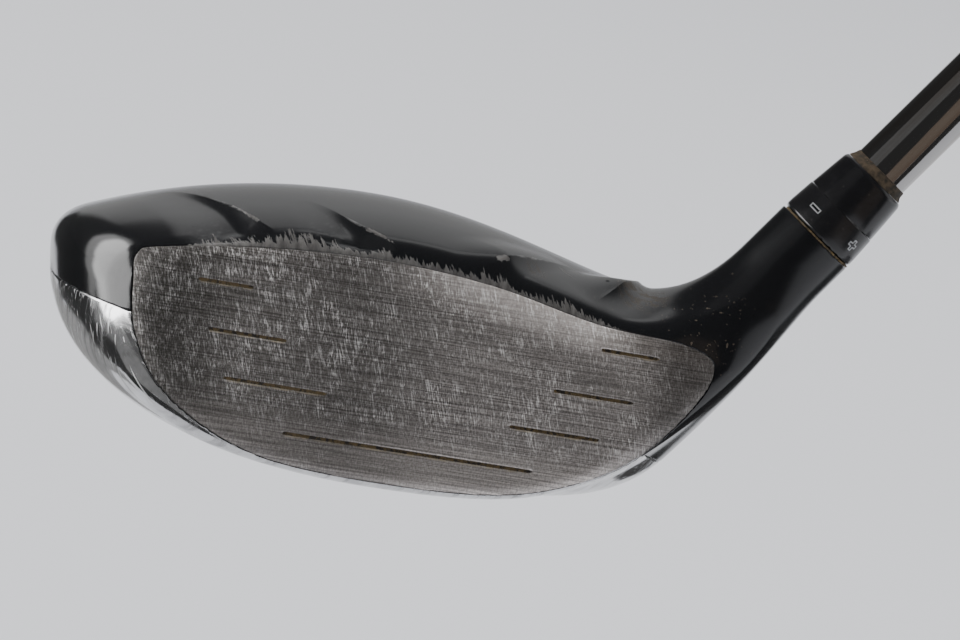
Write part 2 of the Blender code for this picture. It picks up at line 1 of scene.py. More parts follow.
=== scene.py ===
"""Looks of the fairway wood: fine head skins, turned fittings, materials, floor, light and camera.

Shapes are worked out in millimetres in the row frame: the toe points to -X, the heel to +X, the
face looks to -Y and +Z is up.  Heights along the hosel are counted from its ground point.
"""

import json
import math

import bmesh
import bpy
import numpy as np
from mathutils import Matrix, Vector


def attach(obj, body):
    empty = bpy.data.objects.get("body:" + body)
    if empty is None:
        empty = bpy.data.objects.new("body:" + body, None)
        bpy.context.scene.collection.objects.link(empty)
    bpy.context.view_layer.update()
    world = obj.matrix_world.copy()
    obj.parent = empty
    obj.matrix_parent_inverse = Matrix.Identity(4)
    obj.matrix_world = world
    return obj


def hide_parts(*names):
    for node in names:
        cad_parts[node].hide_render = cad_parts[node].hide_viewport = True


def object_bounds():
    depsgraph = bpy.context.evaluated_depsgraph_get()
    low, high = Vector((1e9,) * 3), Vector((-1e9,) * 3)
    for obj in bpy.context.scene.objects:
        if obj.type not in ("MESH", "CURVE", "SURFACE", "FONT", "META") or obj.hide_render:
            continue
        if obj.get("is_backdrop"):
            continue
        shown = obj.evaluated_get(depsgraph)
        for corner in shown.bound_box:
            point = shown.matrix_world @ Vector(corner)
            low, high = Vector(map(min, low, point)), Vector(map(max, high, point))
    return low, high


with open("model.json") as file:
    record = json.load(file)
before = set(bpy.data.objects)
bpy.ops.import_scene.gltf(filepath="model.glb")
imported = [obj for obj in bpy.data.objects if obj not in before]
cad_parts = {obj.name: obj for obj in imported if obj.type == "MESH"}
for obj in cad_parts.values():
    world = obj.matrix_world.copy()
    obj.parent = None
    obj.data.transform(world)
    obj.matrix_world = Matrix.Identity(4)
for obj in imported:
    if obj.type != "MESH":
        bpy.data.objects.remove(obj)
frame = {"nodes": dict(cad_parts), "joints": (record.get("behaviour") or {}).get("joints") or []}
CAD_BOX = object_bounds()

MM = 0.001
JOINTS = {joint["name"]: joint for joint in frame["joints"]}

# --- Head: the same face, crown, sole and plan curves as the CAD head ----------------------------
LOFT = math.radians(17.0)
FACE_CENTRE = np.array([0.0, -17.5, 17.0])
FACE_NORMAL = np.array([0.0, -math.cos(LOFT), math.sin(LOFT)])
FACE_UP = np.array([0.0, math.sin(LOFT), math.cos(LOFT)])
FACE_RADIUS = 300.0
FACE_EDGE = 2.5
CROWN_HEIGHT = 34.9
CROWN_PEAK = (-4.6, -1.2)
CROWN_TOE_BEND, CROWN_HEEL_BEND = (0.0051, 1.9e-7), (0.0068, -1.5e-6)
CROWN_FRONT_BEND, CROWN_BACK_BEND = (0.0153, 0.0), (0.0069, 2.5e-7)
SOLE_LOW = (-5.2, 8.0, -2.0)
SOLE_TOE_BEND, SOLE_HEEL_BEND = (0.0040, 2.8e-7), (0.0016, 3.9e-6)
SOLE_FRONT_BEND, SOLE_BACK_BEND = (0.0043, 0.0), (0.0038, 0.0)
SOLE_DIP = 0.15
PLAN_CENTRE = (2.2, 10.0)
PLAN_TOE, PLAN_HEEL = 51.1, 45.5
PLAN_FRONT, PLAN_BACK = 40.2, 48.0
PLAN_POWER = 2.42
PLAN_SIZE = 44.0
SKIRT_HEIGHT = 21.6
SKIRT_BULGE = 0.0112
CROWN_ROUNDING, SOLE_ROUNDING = 3.7, 4.4
SEAM_HEIGHT, SEAM_HEEL_FALL, SEAM_BACK_FALL = 14.0, 0.06, 0.16
SEAM_HEEL_START, SEAM_HEEL_DROP = 30.0, 0.5      # the paint runs lower down the hosel's front
HEAD_SPAN = 80.0
HEAD_BOX = (-56.0, -35.6, -7.0), (72.0, 66.0, 62.0)
NET_CELL = 1.15
SKIN_THICKNESS = 0.75
SEAM_GAP = 0.1
LIP, LIP_SINK = 0.22, 0.13                        # the rounded border of a skin
FACE_SEAM_GAP = 0.05
BEATEN_SINK, BEATEN_ABOVE = 0.02, 24.0            # the lips are beaten level along the face's top edge

# --- Hosel and sole weight: their axes come from the joints --------------------------------------
HOSEL_GROUND = np.array(JOINTS["hosel_screw_spin"]["pos_m"]) / MM
HOSEL_AXIS = -np.array(JOINTS["hosel_screw_spin"]["axis"])
HOSEL_MOUTH = 50.6
HOSEL_RADIUS, HOSEL_FLARE = 6.2, 1.1e-4
HOSEL_BOTTOM, HOSEL_BOTTOM_BEND, HOSEL_END_ROUNDING = 2.6, 0.0046, 6.0
HOSEL_FILLET = 11.7
FACE_END, FACE_END_BEND = 29.0, 0.04
TUBE_RADIUS, TUBE_TOP = 6.5, 20.0
BORE_RADIUS, RECESS_RADIUS, CLEAR_HOLE = 5.45, 4.4, 2.8
WEB_LOW, WEB_HIGH, CORE_TOP = 11.5, 14.0, 27.0
WEIGHT_PLACE = np.array(JOINTS["weight_spin"]["pos_m"]) / MM
WEIGHT_AXIS = -np.array(JOINTS["weight_spin"]["axis"])
PORT_HOLE = 10.15


# --- The head as a function: negative inside ------------------------------------------------------
def soft_max(a, b, width):
    blend = np.clip(width - np.abs(a - b), 0, None) / width
    return np.maximum(a, b) + blend * blend * width / 4


def soft_min(a, b, width):
    return -soft_max(-a, -b, width)


def bend(distance, pair):
    return pair[0] * distance**2 + pair[1] * distance**4


def past(value, middle):
    return np.clip(value - middle, 0, None)


def crown_height(x, y):
    return (CROWN_HEIGHT - bend(past(-x, -CROWN_PEAK[0]), CROWN_TOE_BEND)
            - bend(past(x, CROWN_PEAK[0]), CROWN_HEEL_BEND)
            - bend(past(-y, -CROWN_PEAK[1]), CROWN_FRONT_BEND)
            - bend(past(y, CROWN_PEAK[1]), CROWN_BACK_BEND))


def sole_height(x, y):
    return (bend(past(-x, -SOLE_LOW[0]), SOLE_TOE_BEND) + bend(past(x, SOLE_LOW[0]), SOLE_HEEL_BEND)
            + bend(past(-y, -SOLE_LOW[2]), SOLE_FRONT_BEND) + bend(past(y, SOLE_LOW[1]), SOLE_BACK_BEND)
            - SOLE_DIP)


def true_distance(height, x, y, step=0.5):
    slope_x = (height(x + step, y) - height(x - step, y)) / (2 * step)
    slope_y = (height(x, y + step) - height(x, y - step)) / (2 * step)
    return 1 / np.sqrt(1 + slope_x**2 + slope_y**2)


def plan_distance(x, y, z):
    across, along = x - PLAN_CENTRE[0], y - PLAN_CENTRE[1]
    across = np.where(across < 0, across / PLAN_TOE, across / PLAN_HEEL)
    along = np.where(along < 0, along / PLAN_FRONT, along / PLAN_BACK)
    size = (np.abs(across)**PLAN_POWER + np.abs(along)**PLAN_POWER + 1e-9)**(1 / PLAN_POWER)
    return (size - 1) * PLAN_SIZE + SKIRT_BULGE * (z - SKIRT_HEIGHT)**2


def face_distance(points):
    offset = points - FACE_CENTRE
    return offset @ FACE_NORMAL + (offset[..., 0]**2 + (offset @ FACE_UP)**2) / (2 * FACE_RADIUS)


def axis_place(points, ground, axis):
    """Each point's height along an axis and its distance from the axis."""
    offset = points - ground
    height = offset @ axis
    return height, np.linalg.norm(offset - height[..., None] * axis, axis=-1)


def hosel_surface(points):
    height, radius = axis_place(points, HOSEL_GROUND, HOSEL_AXIS)
    wall = HOSEL_RADIUS + HOSEL_FLARE * past(HOSEL_MOUTH, height)**2
    bottom = HOSEL_BOTTOM + HOSEL_BOTTOM_BEND * (points[..., 0] - HOSEL_GROUND[0])**2
    return soft_max(radius - wall, bottom - points[..., 2], HOSEL_END_ROUNDING), height


def head_surface(points):
    x, y, z = points[..., 0], points[..., 1], points[..., 2]
    crown = (z - crown_height(x, y)) * true_distance(crown_height, x, y)
    sole = (sole_height(x, y) - z) * true_distance(sole_height, x, y)
    body = soft_max(soft_max(crown, plan_distance(x, y, z), CROWN_ROUNDING), sole, SOLE_ROUNDING)
    hosel, height = hosel_surface(points)
    whole = soft_min(body, hosel, HOSEL_FILLET)
    clear_of_hosel = FACE_END_BEND * past(height, FACE_END)**2
    whole = soft_max(whole, face_distance(points) - clear_of_hosel, FACE_EDGE)
    whole = soft_max(whole, -z, 0.4)
    return np.maximum(whole, height - HOSEL_MOUTH - 4 * NET_CELL)


def seam_side(points):
    """Height above the joint line between the black upper body and the polished sole."""
    x, y = points[..., 0], points[..., 1]
    seam = SEAM_HEIGHT - SEAM_HEEL_FALL * x - SEAM_BACK_FALL * y * (0.5 - x / HEAD_SPAN)
    return points[..., 2] - seam + SEAM_HEEL_DROP * past(x, SEAM_HEEL_START)


# --- Crown ridges ---------------------------------------------------------------------------------
# A ridge has a crest in plan, from front to back, and a steep side.  Towards the toe the steep side
# is scooped out of the crown; towards the heel the crest is raised above it.
RIDGES = [
    {"crest": [(-22.4, -11.0), (-25.4, -6.4), (-27.6, -1.8), (-31.8, 7.5), (-34.4, 13.5)], "steep": 1,
     "height": 0.0, "scoop": 1.25},
    {"crest": [(-4.6, -13.0), (-10.1, -8.4), (-13.2, -5.0), (-17.4, 1.5)], "steep": 1, "height": 0.0,
     "scoop": 1.25},
    {"crest": [(4.4, -13.4), (11.1, -7.9), (16.4, -3.7), (21.6, 1.2)], "steep": -1, "height": 1.3,
     "scoop": 0.0},
    {"crest": [(22.4, -10.2), (28.2, -3.6), (31.2, 1.0), (33.8, 7.0), (35.6, 12.0)], "steep": -1,
     "height": 2.0, "scoop": 0.0},
]
RIDGE_WALL = (3.6, 1.2)                           # width of the steep side at the front and the back
RIDGE_SLOPE = 7.5
SCOOP_REACH = 4.4                                 # a scoop's whole width, in widths of its steep side
RIDGE_REACH = 16.0
RIDGE_EDGE_FADE = 1.5                             # the ridges die out this far behind the face's edge
RIDGE_CUTS = (0.0, 0.3, 0.65, 1.0)                # the net is cut along these shares of a steep side
CREST_WIDTH = 1.2                                 # reach of the painted crest highlight on each side of a crest
CROWN_ABOVE = 20.0                                # what is higher than this may belong to the crown
CURVE_STEPS = 8                                   # points along each span of a smooth curve


def smooth_step(share):
    share = np.clip(share, 0, 1)
    return share * share * (3 - 2 * share)


def smooth_curve(corners, closed=False):
    """Points along a smooth curve through the given ones."""
    corners = np.array(corners, float)
    count = len(corners)
    if not closed:
        ends = 2 * corners[0] - corners[1], 2 * corners[-1] - corners[-2]
        corners = np.concatenate([[ends[0]], corners, [ends[1]]])
    spans = range(count) if closed else range(1, count)
    points = []
    for i in spans:
        a, b, c, d = (corners[(i + k - 1) % len(corners)] for k in range(4))
        for t in np.arange(CURVE_STEPS) / CURVE_STEPS:
            points.append(0.5 * (2 * b + (c - a) * t + (2 * a - 5 * b + 4 * c - d) * t**2
                                 + (3 * b - a - 3 * c + d) * t**3))
    if not closed:
        points.append(corners[-2])
    return np.array(points)


def along_curve(x, y, curve):
    """Share of the way along a curve and signed distance from it, positive on its left."""
    start, step = curve[:-1], np.diff(curve, axis=0)
    offset = np.stack([x, y], -1)[..., None, :] - start
    share = np.clip(np.sum(offset * step, -1) / np.sum(step * step, -1), 0, 1)
    away = offset - share[..., None] * step
    distance = np.linalg.norm(away, axis=-1)
    nearest = distance.argmin(-1)[..., None]
    cross = step[:, 0] * offset[..., 1] - step[:, 1] * offset[..., 0]
    side = np.sign(np.take_along_axis(cross, nearest, -1))[..., 0]
    share = (nearest + np.take_along_axis(share, nearest, -1))[..., 0] / len(start)
    return share, np.take_along_axis(distance, nearest, -1)[..., 0] * np.where(side == 0, 1, side)


def ridge_places(x, y):
    """For each ridge: which points it can reach, their share along it and distance to its steep side."""
    for ridge in RIDGES:
        curve = smooth_curve(ridge["crest"])
        low, high = curve.min(0) - RIDGE_REACH, curve.max(0) + RIDGE_REACH
        near = (x > low[0]) & (x < high[0]) & (y > low[1]) & (y < high[1])
        share, distance = along_curve(x[near], y[near], curve)
        yield ridge, near, share, distance * ridge["steep"]


def front_edge(x):
    """Where the face's top edge lies in plan."""
    curve = smooth_curve(FACE_OUTLINE, closed=True)
    across, up = curve[curve[:, 0].argmin() + CURVE_STEPS:curve[:, 0].argmax() + 1].T
    bow = (across**2 + up**2) / (2 * FACE_RADIUS)
    return np.interp(x, across, FACE_CENTRE[1] + up * FACE_UP[1] - bow * FACE_NORMAL[1])


def steep_width(share):
    """Width of a ridge's steep side, from its front to its back."""
    return RIDGE_WALL[0] + (RIDGE_WALL[1] - RIDGE_WALL[0]) * share


def ridge_rise(x, y):
    """How far the ridges lift the crown, in millimetres; negative where it is scooped out."""
    rise = np.zeros_like(x)
    for ridge, near, share, distance in ridge_places(x, y):
        strength = smooth_step(share / 0.28) * np.clip((1 - share) / 0.75, 0, 1)**1.3
        wall = steep_width(share)
        steep = np.clip(1 - distance / wall, 0, 1)**2
        gentle = smooth_step(1 + distance / RIDGE_SLOPE)
        bottom = np.sin(np.pi / 2 * np.clip(distance / wall, 0, 1))
        far_side = 1 - smooth_step((distance / wall - 1) / (SCOOP_REACH - 1))
        raised = ridge["height"] * np.where(distance > 0, steep, gentle)
        rise[near] += strength * (raised - ridge["scoop"] * bottom * far_side)
    return rise * smooth_step((y - front_edge(x) - 0.3) / RIDGE_EDGE_FADE)


# --- The face's outline and score lines ------------------------------------------------------------
FACE_OUTLINE = [(-41.5, 8.3), (-41.0, 10.9), (-39.2, 11.8), (-31.3, 13.2), (-20.0, 14.5), (-6.0, 15.0),
                (8.4, 13.9), (23.4, 11.2), (37.1, 10.3), (41.5, 7.2), (37.5, -0.6), (29.7, -8.1),
                (15.9, -13.6), (-1.0, -15.0), (-20.8, -13.9), (-34.0, -8.0), (-39.9, -0.3)]
SCORE_LINES = [(-33.0, -25.1, 8.5), (-30.7, -19.6, 2.1), (-27.6, -13.1, -4.15), (-18.5, 17.2, -10.25),
               (24.0, 33.0, 7.85), (18.1, 30.2, 1.25), (12.6, 26.1, -4.55)]
SCORE_DEPTH, SCORE_WIDTH = 0.28, 0.3
FACE_STEP = 0.42
FACE_REACH = 6.0                                  # how far behind the face its outline still counts
FACE_HALF_WIDTH, FACE_HALF_HEIGHT = 44.0, 17.0
FAR_FROM_FACE, FAR_FROM_HOLE, FAR_FROM_RIDGE = 50.0, 20.0, 30.0   # measures out of their reach


def face_place(points):
    """Across, up and out of the face's centre plane."""
    offset = points - FACE_CENTRE
    return offset[..., 0], offset @ FACE_UP, offset @ FACE_NORMAL


def outline_distance(across, up):
    """Signed distance to the face's outline, negative inside."""
    curve = smooth_curve(FACE_OUTLINE, closed=True)
    curve = np.concatenate([curve, curve[:1]])
    distance = np.abs(along_curve(across, up, curve)[1])
    inside = np.zeros(across.shape, bool)
    for (x0, y0), (x1, y1) in zip(curve[:-1], curve[1:]):
        if y0 != y1:
            crossing = x0 + (up - y0) * (x1 - x0) / (y1 - y0)
            inside ^= ((y0 > up) != (y1 > up)) & (across < crossing)
    return np.where(inside, -distance, distance)


def face_gap(points):
    """Distance outside the face's outline; points behind the face count as far outside."""
    across, up, out = face_place(points)
    gap = np.full(across.shape, FAR_FROM_FACE)
    near = ((out > -FACE_REACH) & (np.abs(across) < FACE_HALF_WIDTH + 4)
            & (np.abs(up) < FACE_HALF_HEIGHT + 5))
    gap[near] = outline_distance(across[near], up[near])
    return gap


# --- Nets: triangles on a surface function -----------------------------------------------------------
def slope_of(surface, points, step=0.05):
    return np.stack([(surface(points + axis) - surface(points - axis)) / (2 * step)
                     for axis in np.eye(3) * step], -1)


def unit(vectors):
    return vectors / (np.linalg.norm(vectors, axis=-1)[..., None] + 1e-12)


def pull_to_surface(points, surface, reach, rounds=3):
    for _ in range(rounds):
        slope = slope_of(surface, points)
        distance = surface(points) / (np.sum(slope * slope, -1) + 1e-9)
        points = points - np.clip(distance, -reach, reach)[:, None] * slope
    return points


def crossed_cells(inside):
    span = [size - 1 for size in inside.shape]
    corners = sum(inside[i:span[0] + i, j:span[1] + j, k:span[2] + k].astype(np.int8)
                  for i in (0, 1) for j in (0, 1) for k in (0, 1))
    return (corners > 0) & (corners < 8)


def crossing_quads(inside, numbers):
    """A quad round each grid edge that crosses the surface, facing outwards."""
    quads = []
    for axis, (first, second) in enumerate([(1, 2), (2, 0), (0, 1)]):
        near = [slice(1, -1)] * 3
        near[axis] = slice(0, -1)
        far = list(near)
        far[axis] = slice(1, None)
        edges = np.argwhere(inside[tuple(near)] != inside[tuple(far)])
        edges[:, [other for other in range(3) if other != axis]] += 1
        corners = []
        for step_first, step_second in [(-1, -1), (0, -1), (0, 0), (-1, 0)]:
            corner = edges.copy()
            corner[:, first] += step_first
            corner[:, second] += step_second
            corners.append(numbers[tuple(corner.T)])
        quad = np.stack(corners, -1)
        leaving = inside[tuple(edges.T)]
        quad[~leaving] = quad[~leaving][:, ::-1]
        quads.append(quad)
    return np.concatenate(quads)


def surface_net(surface, low, high, cell):
    """Points and triangles of the zero surface of a function."""
    axes = [np.arange(low[i], high[i] + cell, cell) for i in range(3)]
    values = np.stack([surface(np.stack(np.meshgrid([x], axes[1], axes[2], indexing="ij"), -1))[0]
                       for x in axes[0]])
    inside = values < 0
    crossed = crossed_cells(inside)
    cells = np.argwhere(crossed)
    numbers = np.full(crossed.shape, -1)
    numbers[tuple(cells.T)] = np.arange(len(cells))
    points = pull_to_surface((cells + 0.5) * cell + np.array(low), surface, cell, rounds=5)
    quads = crossing_quads(inside, numbers)
    return points, np.concatenate([quads[:, [0, 1, 2]], quads[:, [0, 2, 3]]])


def split_in_four(points, tris):
    edges = np.sort(np.concatenate([tris[:, [0, 1]], tris[:, [1, 2]], tris[:, [2, 0]]]), 1)
    edges, place = np.unique(edges, axis=0, return_inverse=True)
    ab, bc, ca = len(points) + place.reshape(3, -1)
    a, b, c = tris.T
    parts = [np.stack(part, 1) for part in ((a, ab, ca), (ab, b, bc), (ca, bc, c), (ab, bc, ca))]
    return np.concatenate([points, points[edges].mean(1)]), np.concatenate(parts)


def compact(points, tris):
    """Drops the points that no triangle uses."""
    used, place = np.unique(tris, return_inverse=True)
    return points[used], place.reshape(-1, 3)


def cut(points, tris, value, both=True):
    """Splits the triangles where a value at the points crosses zero; keeps both sides or the positive."""
    value = np.where(np.abs(value) < 1e-7, 1e-7, value)
    above = value > 0
    count = above[tris].sum(1)
    whole = [tris[(count == 3) | ((count == 0) & both)]]
    mixed = tris[(count == 1) | (count == 2)]
    lone_above = above[mixed].sum(1) == 1
    lone = np.where(above[mixed] == lone_above[:, None], np.arange(3), -1).max(1)
    turn = (lone[:, None] + np.arange(3)) % 3
    a, b, c = np.take_along_axis(mixed, turn, 1).T
    edges = np.sort(np.concatenate([np.stack([a, b], 1), np.stack([c, a], 1)]), 1)
    edges, place = np.unique(edges, axis=0, return_inverse=True)
    share = value[edges[:, 0]] / (value[edges[:, 0]] - value[edges[:, 1]])
    added = points[edges[:, 0]] * (1 - share)[:, None] + points[edges[:, 1]] * share[:, None]
    ab, ca = len(points) + place.reshape(2, -1)
    tip = np.stack([a, ab, ca], 1)
    rest = np.stack([np.stack([ab, b, c], 1), np.stack([ab, c, ca], 1)])
    whole.append(tip[lone_above | both])
    for part in rest:
        whole.append(part[~lone_above | both])
    return compact(np.concatenate([points, added]), np.concatenate(whole))


# --- Meshes ------------------------------------------------------------------------------------------
def border_edges(tris):
    """Directed edges that only one triangle uses."""
    edges = np.concatenate([tris[:, [0, 1]], tris[:, [1, 2]], tris[:, [2, 0]]])
    keys = np.sort(edges, 1)
    _, place, uses = np.unique(keys, axis=0, return_inverse=True, return_counts=True)
    return edges[uses[place.ravel()] == 1]


def link(name, mesh, look, body, slot, *stands_for):
    """Adds a piece that rides on a body and stands for CAD nodes."""
    item = bpy.data.objects.new(name, mesh)
    bpy.context.scene.collection.objects.link(item)
    mesh.materials.append(look)
    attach(item, body)
    if stands_for:
        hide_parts(*stands_for)
    return item


def mesh_of(name, points, polygons, normals=None):
    """A mesh from points in millimetres, arrays of polygons and, if given, each corner's normal."""
    mesh = bpy.data.meshes.new(name)
    mesh.vertices.add(len(points))
    mesh.vertices.foreach_set("co", (points * MM).astype(np.float32).ravel())
    sizes = np.concatenate([np.full(len(group), group.shape[1]) for group in polygons])
    corners = np.concatenate([group.ravel() for group in polygons]).astype(np.int32)
    mesh.loops.add(len(corners))
    mesh.loops.foreach_set("vertex_index", corners)
    mesh.polygons.add(len(sizes))
    mesh.polygons.foreach_set("loop_start", (np.cumsum(sizes) - sizes).astype(np.int32))
    mesh.update(calc_edges=True)
    mesh.validate()
    mesh.shade_smooth()
    if normals is not None:
        mesh.normals_split_custom_set(normals.astype(np.float32))
    return mesh


def give_attribute(mesh, name, values, count):
    """A number at each of the first points, and zero on the rest."""
    attribute = mesh.attributes.new(name, "FLOAT", "POINT")
    whole = np.zeros(count, np.float32)
    whole[:len(values)] = values
    attribute.data.foreach_set("value", whole)


def shell(name, points, tris, normals, corner_normals, thickness, marks):
    """A closed thin shell: the outer triangles, the same ones inset, and a rim between them."""
    count = len(points)
    beaten = (marks["edge_gap"] < 1) & (points[:, 2] > BEATEN_ABOVE)
    rim = border_edges(tris)
    along = unit(points[rim[:, 1]] - points[rim[:, 0]])
    outward = unit(np.cross(along, normals[rim].mean(1)))
    rim_normal = np.zeros_like(points)
    np.add.at(rim_normal, rim[:, 0], outward)
    np.add.at(rim_normal, rim[:, 1], outward)
    on_rim = np.linalg.norm(rim_normal, axis=1) > 0
    rim_normal = unit(rim_normal)
    corner_normals = np.where(on_rim[tris][..., None],
                              unit(corner_normals + rim_normal[tris]), corner_normals)
    outer = points - (on_rim * np.where(beaten, BEATEN_SINK, LIP_SINK))[:, None] * normals
    inner = points - thickness * normals
    sides = np.stack([rim[:, 1], rim[:, 0], rim[:, 0] + count, rim[:, 1] + count], 1)
    side_normals = rim_normal[sides % count]
    back = tris[:, ::-1] + count
    loops = np.concatenate([corner_normals.reshape(-1, 3), -normals[back - count].reshape(-1, 3),
                            side_normals.reshape(-1, 3)])
    mesh = mesh_of(name, np.concatenate([outer, inner]), [tris, back, sides], loops)
    for mark, values in marks.items():
        give_attribute(mesh, mark, values, 2 * count)
    return mesh


# --- Head skins --------------------------------------------------------------------------------------
def cut_along(points, tris, measure, both=True):
    return cut(points, tris, measure(points), both)


def trimmed(points, tris, measure):
    """Keeps what lies above zero of a measure, with one more line of points just inside the border."""
    points, tris = cut_along(points, tris, lambda p: measure(p) - LIP)
    return cut_along(points, tris, measure, both=False)


def clear_of_face(points):
    return face_gap(points) - FACE_SEAM_GAP / 2


def below_mouth(points):
    return HOSEL_MOUTH - 0.05 - axis_place(points, HOSEL_GROUND, HOSEL_AXIS)[0]


def tube_side(points):
    """Distance outside the hosel tube's lower end, which shows as a ring in the sole."""
    height, radius = axis_place(points, HOSEL_GROUND, HOSEL_AXIS)
    return np.where(height < TUBE_TOP, radius - TUBE_RADIUS, FAR_FROM_HOLE)


def clear_of_recess(points):
    height, radius = axis_place(points, HOSEL_GROUND, HOSEL_AXIS)
    return np.where(height < TUBE_TOP, radius - RECESS_RADIUS, FAR_FROM_HOLE)


def clear_of_port(points):
    height, radius = axis_place(points, WEIGHT_PLACE, WEIGHT_AXIS)
    return np.where(height < TUBE_TOP, radius - PORT_HOLE, FAR_FROM_HOLE)


def upper_side(points):
    return np.maximum(seam_side(points), -tube_side(points)) - SEAM_GAP / 2


def sole_side(points):
    return np.minimum(-seam_side(points), tube_side(points)) - SEAM_GAP / 2


def ridge_measures():
    """Crest and foot lines of the ridges, for cutting the net along them."""
    def line(number, foot):
        def measure(points):
            value = np.full(len(points), FAR_FROM_RIDGE)
            for i, (_, near, share, distance) in enumerate(ridge_places(points[:, 0], points[:, 1])):
                if i == number:
                    value[near] = distance - foot * steep_width(share)
            return np.where(points[:, 2] > CROWN_ABOVE, value, FAR_FROM_RIDGE)
        return measure
    return [line(number, foot) for number in range(len(RIDGES)) for foot in RIDGE_CUTS]


def ridged(points, tris, normals):
    """Lifts the crown's ridges; returns the points and each corner's normal, sharp at the crests."""
    crown = np.clip((normals[:, 2] - 0.15) / 0.3, 0, 1)
    corners = points[tris]
    corners = corners + (corners.mean(1)[:, None] - corners) * 0.04
    x, y = corners[..., 0], corners[..., 1]
    step = 0.003
    slope_x = (ridge_rise(x + step, y) - ridge_rise(x - step, y)) / (2 * step)
    slope_y = (ridge_rise(x, y + step) - ridge_rise(x, y - step)) / (2 * step)
    slope = np.stack([slope_x, slope_y, np.zeros_like(slope_x)], -1)
    tilt = (normals[:, 2] * crown)[tris][..., None]
    corner_normals = unit(normals[tris] - slope * tilt)
    lifted = points.copy()
    lifted[:, 2] += ridge_rise(points[:, 0], points[:, 1]) * crown
    return lifted, corner_normals


def crest_nearness(points):
    """One on a ridge's crest line, fading to zero a little way off."""
    near_crest = np.zeros(len(points))
    for _, near, share, distance in ridge_places(points[:, 0], points[:, 1]):
        fade = np.clip(1 - np.abs(distance) / CREST_WIDTH, 0, 1) * np.clip(4 * share * (1 - share), 0, 1)
        near_crest[near] = np.maximum(near_crest[near], fade)
    return near_crest * (points[:, 2] > CROWN_ABOVE)


def head_net():
    points, tris = surface_net(head_surface, *HEAD_BOX, NET_CELL)
    points, tris = split_in_four(points, tris)
    return pull_to_surface(points, head_surface, NET_CELL / 2, rounds=2), tris


def make_upper_skin(points, tris, look):
    for measure in ridge_measures():
        points, tris = cut_along(points, tris, measure)
    for measure in (upper_side, clear_of_face, below_mouth, clear_of_recess):
        points, tris = trimmed(points, tris, measure)
    normals = unit(slope_of(head_surface, points))
    lifted, corner_normals = ridged(points, tris, normals)
    marks = {"edge_gap": np.clip(face_gap(points), 0, 10), "crest": crest_nearness(points)}
    mesh = shell("upper_body_skin", lifted, tris, normals, corner_normals, SKIN_THICKNESS, marks)
    link("upper_body_skin", mesh, look, "head", "black_paint", "upper_body")


def make_sole_skin(points, tris, look):
    for measure in (sole_side, clear_of_face, clear_of_port):
        points, tris = trimmed(points, tris, measure)
    normals = unit(slope_of(head_surface, points))
    marks = {"edge_gap": np.clip(face_gap(points), 0, 10)}
    mesh = shell("sole_plate_skin", points, tris, normals, normals[tris], SKIN_THICKNESS, marks)
    link("sole_plate_skin", mesh, look, "head", "polished_steel", "sole_plate")


def line_share(across, up, offset=0.0):
    """One on the score lines, or on lines at an offset above them, fading to zero at their sides."""
    share = np.zeros_like(across)
    for start, end, height in SCORE_LINES:
        along = np.clip(np.minimum(across - start, end - across) / 0.5, 0, 1)
        across_line = np.clip(1 - np.abs(up - height - offset) / SCORE_WIDTH, 0, 1)
        share = np.maximum(share, along * across_line)
    return share


def score_depth(across, up):
    """Depth of the score lines at places on the face."""
    return np.minimum(1, 2 * line_share(across, up)) * SCORE_DEPTH


def face_rows():
    """Row heights on the face: even, with extra rows at every score line."""
    rows = np.arange(-FACE_HALF_HEIGHT, FACE_HALF_HEIGHT, FACE_STEP)
    for _, _, height in SCORE_LINES:
        rows = rows[np.abs(rows - height) > 1.6 * SCORE_WIDTH]
        lines = height + SCORE_WIDTH * np.array([-1.5, -1.0, -0.5, 0.0, 0.5, 1.0, 1.5])
        rows = np.concatenate([rows, lines])
    rows = np.sort(rows)
    return rows[np.concatenate([[True], np.diff(rows) > 0.04])]


def face_sheet():
    """A grid of triangles that lies on the head's surface inside the face's outline."""
    columns = np.arange(-FACE_HALF_WIDTH, FACE_HALF_WIDTH, FACE_STEP)
    across, up = np.meshgrid(columns, face_rows(), indexing="ij")
    rows = across.shape[1]
    bow = (across**2 + up**2) / (2 * FACE_RADIUS)
    points = (FACE_CENTRE + across[..., None] * np.array([1.0, 0, 0]) + up[..., None] * FACE_UP
              - bow[..., None] * FACE_NORMAL).reshape(-1, 3)
    low = (np.arange(len(points)).reshape(across.shape)[:-1, :-1]).ravel()
    tris = np.concatenate([np.stack([low, low + rows, low + rows + 1], 1),
                           np.stack([low, low + rows + 1, low + 1], 1)])
    wide = outline_distance(across.ravel(), up.ravel()) < 3
    points, tris = compact(points, tris[wide[tris].all(1)])
    for _ in range(12):
        points = points - np.clip(head_surface(points), -0.6, 0.6)[:, None] * FACE_NORMAL
    return points, tris


def make_face_skin(look):
    points, tris = trimmed(*face_sheet(), lambda p: -face_gap(p) - FACE_SEAM_GAP / 2)
    normals = unit(slope_of(head_surface, points))
    corners = points[tris]
    corners = corners + (corners.mean(1)[:, None] - corners) * 0.1
    across, up, _ = face_place(corners)
    step = 0.05
    slope = (score_depth(across, up + step) - score_depth(across, up - step)) / (2 * step)
    corner_normals = unit(normals[tris] + slope[..., None] * FACE_UP)
    across, up, _ = face_place(points)
    depth = score_depth(across, up)
    marks = {"edge_gap": np.clip(-face_gap(points), 0, 10), "groove": depth / SCORE_DEPTH,
             "lower_lip": line_share(across, up, -SCORE_WIDTH)}
    sunk = points - depth[:, None] * normals
    mesh = shell("face_plate_skin", sunk, tris, normals, corner_normals, SKIN_THICKNESS, marks)
    link("face_plate_skin", mesh, look, "head", "brushed_steel", "face_plate")


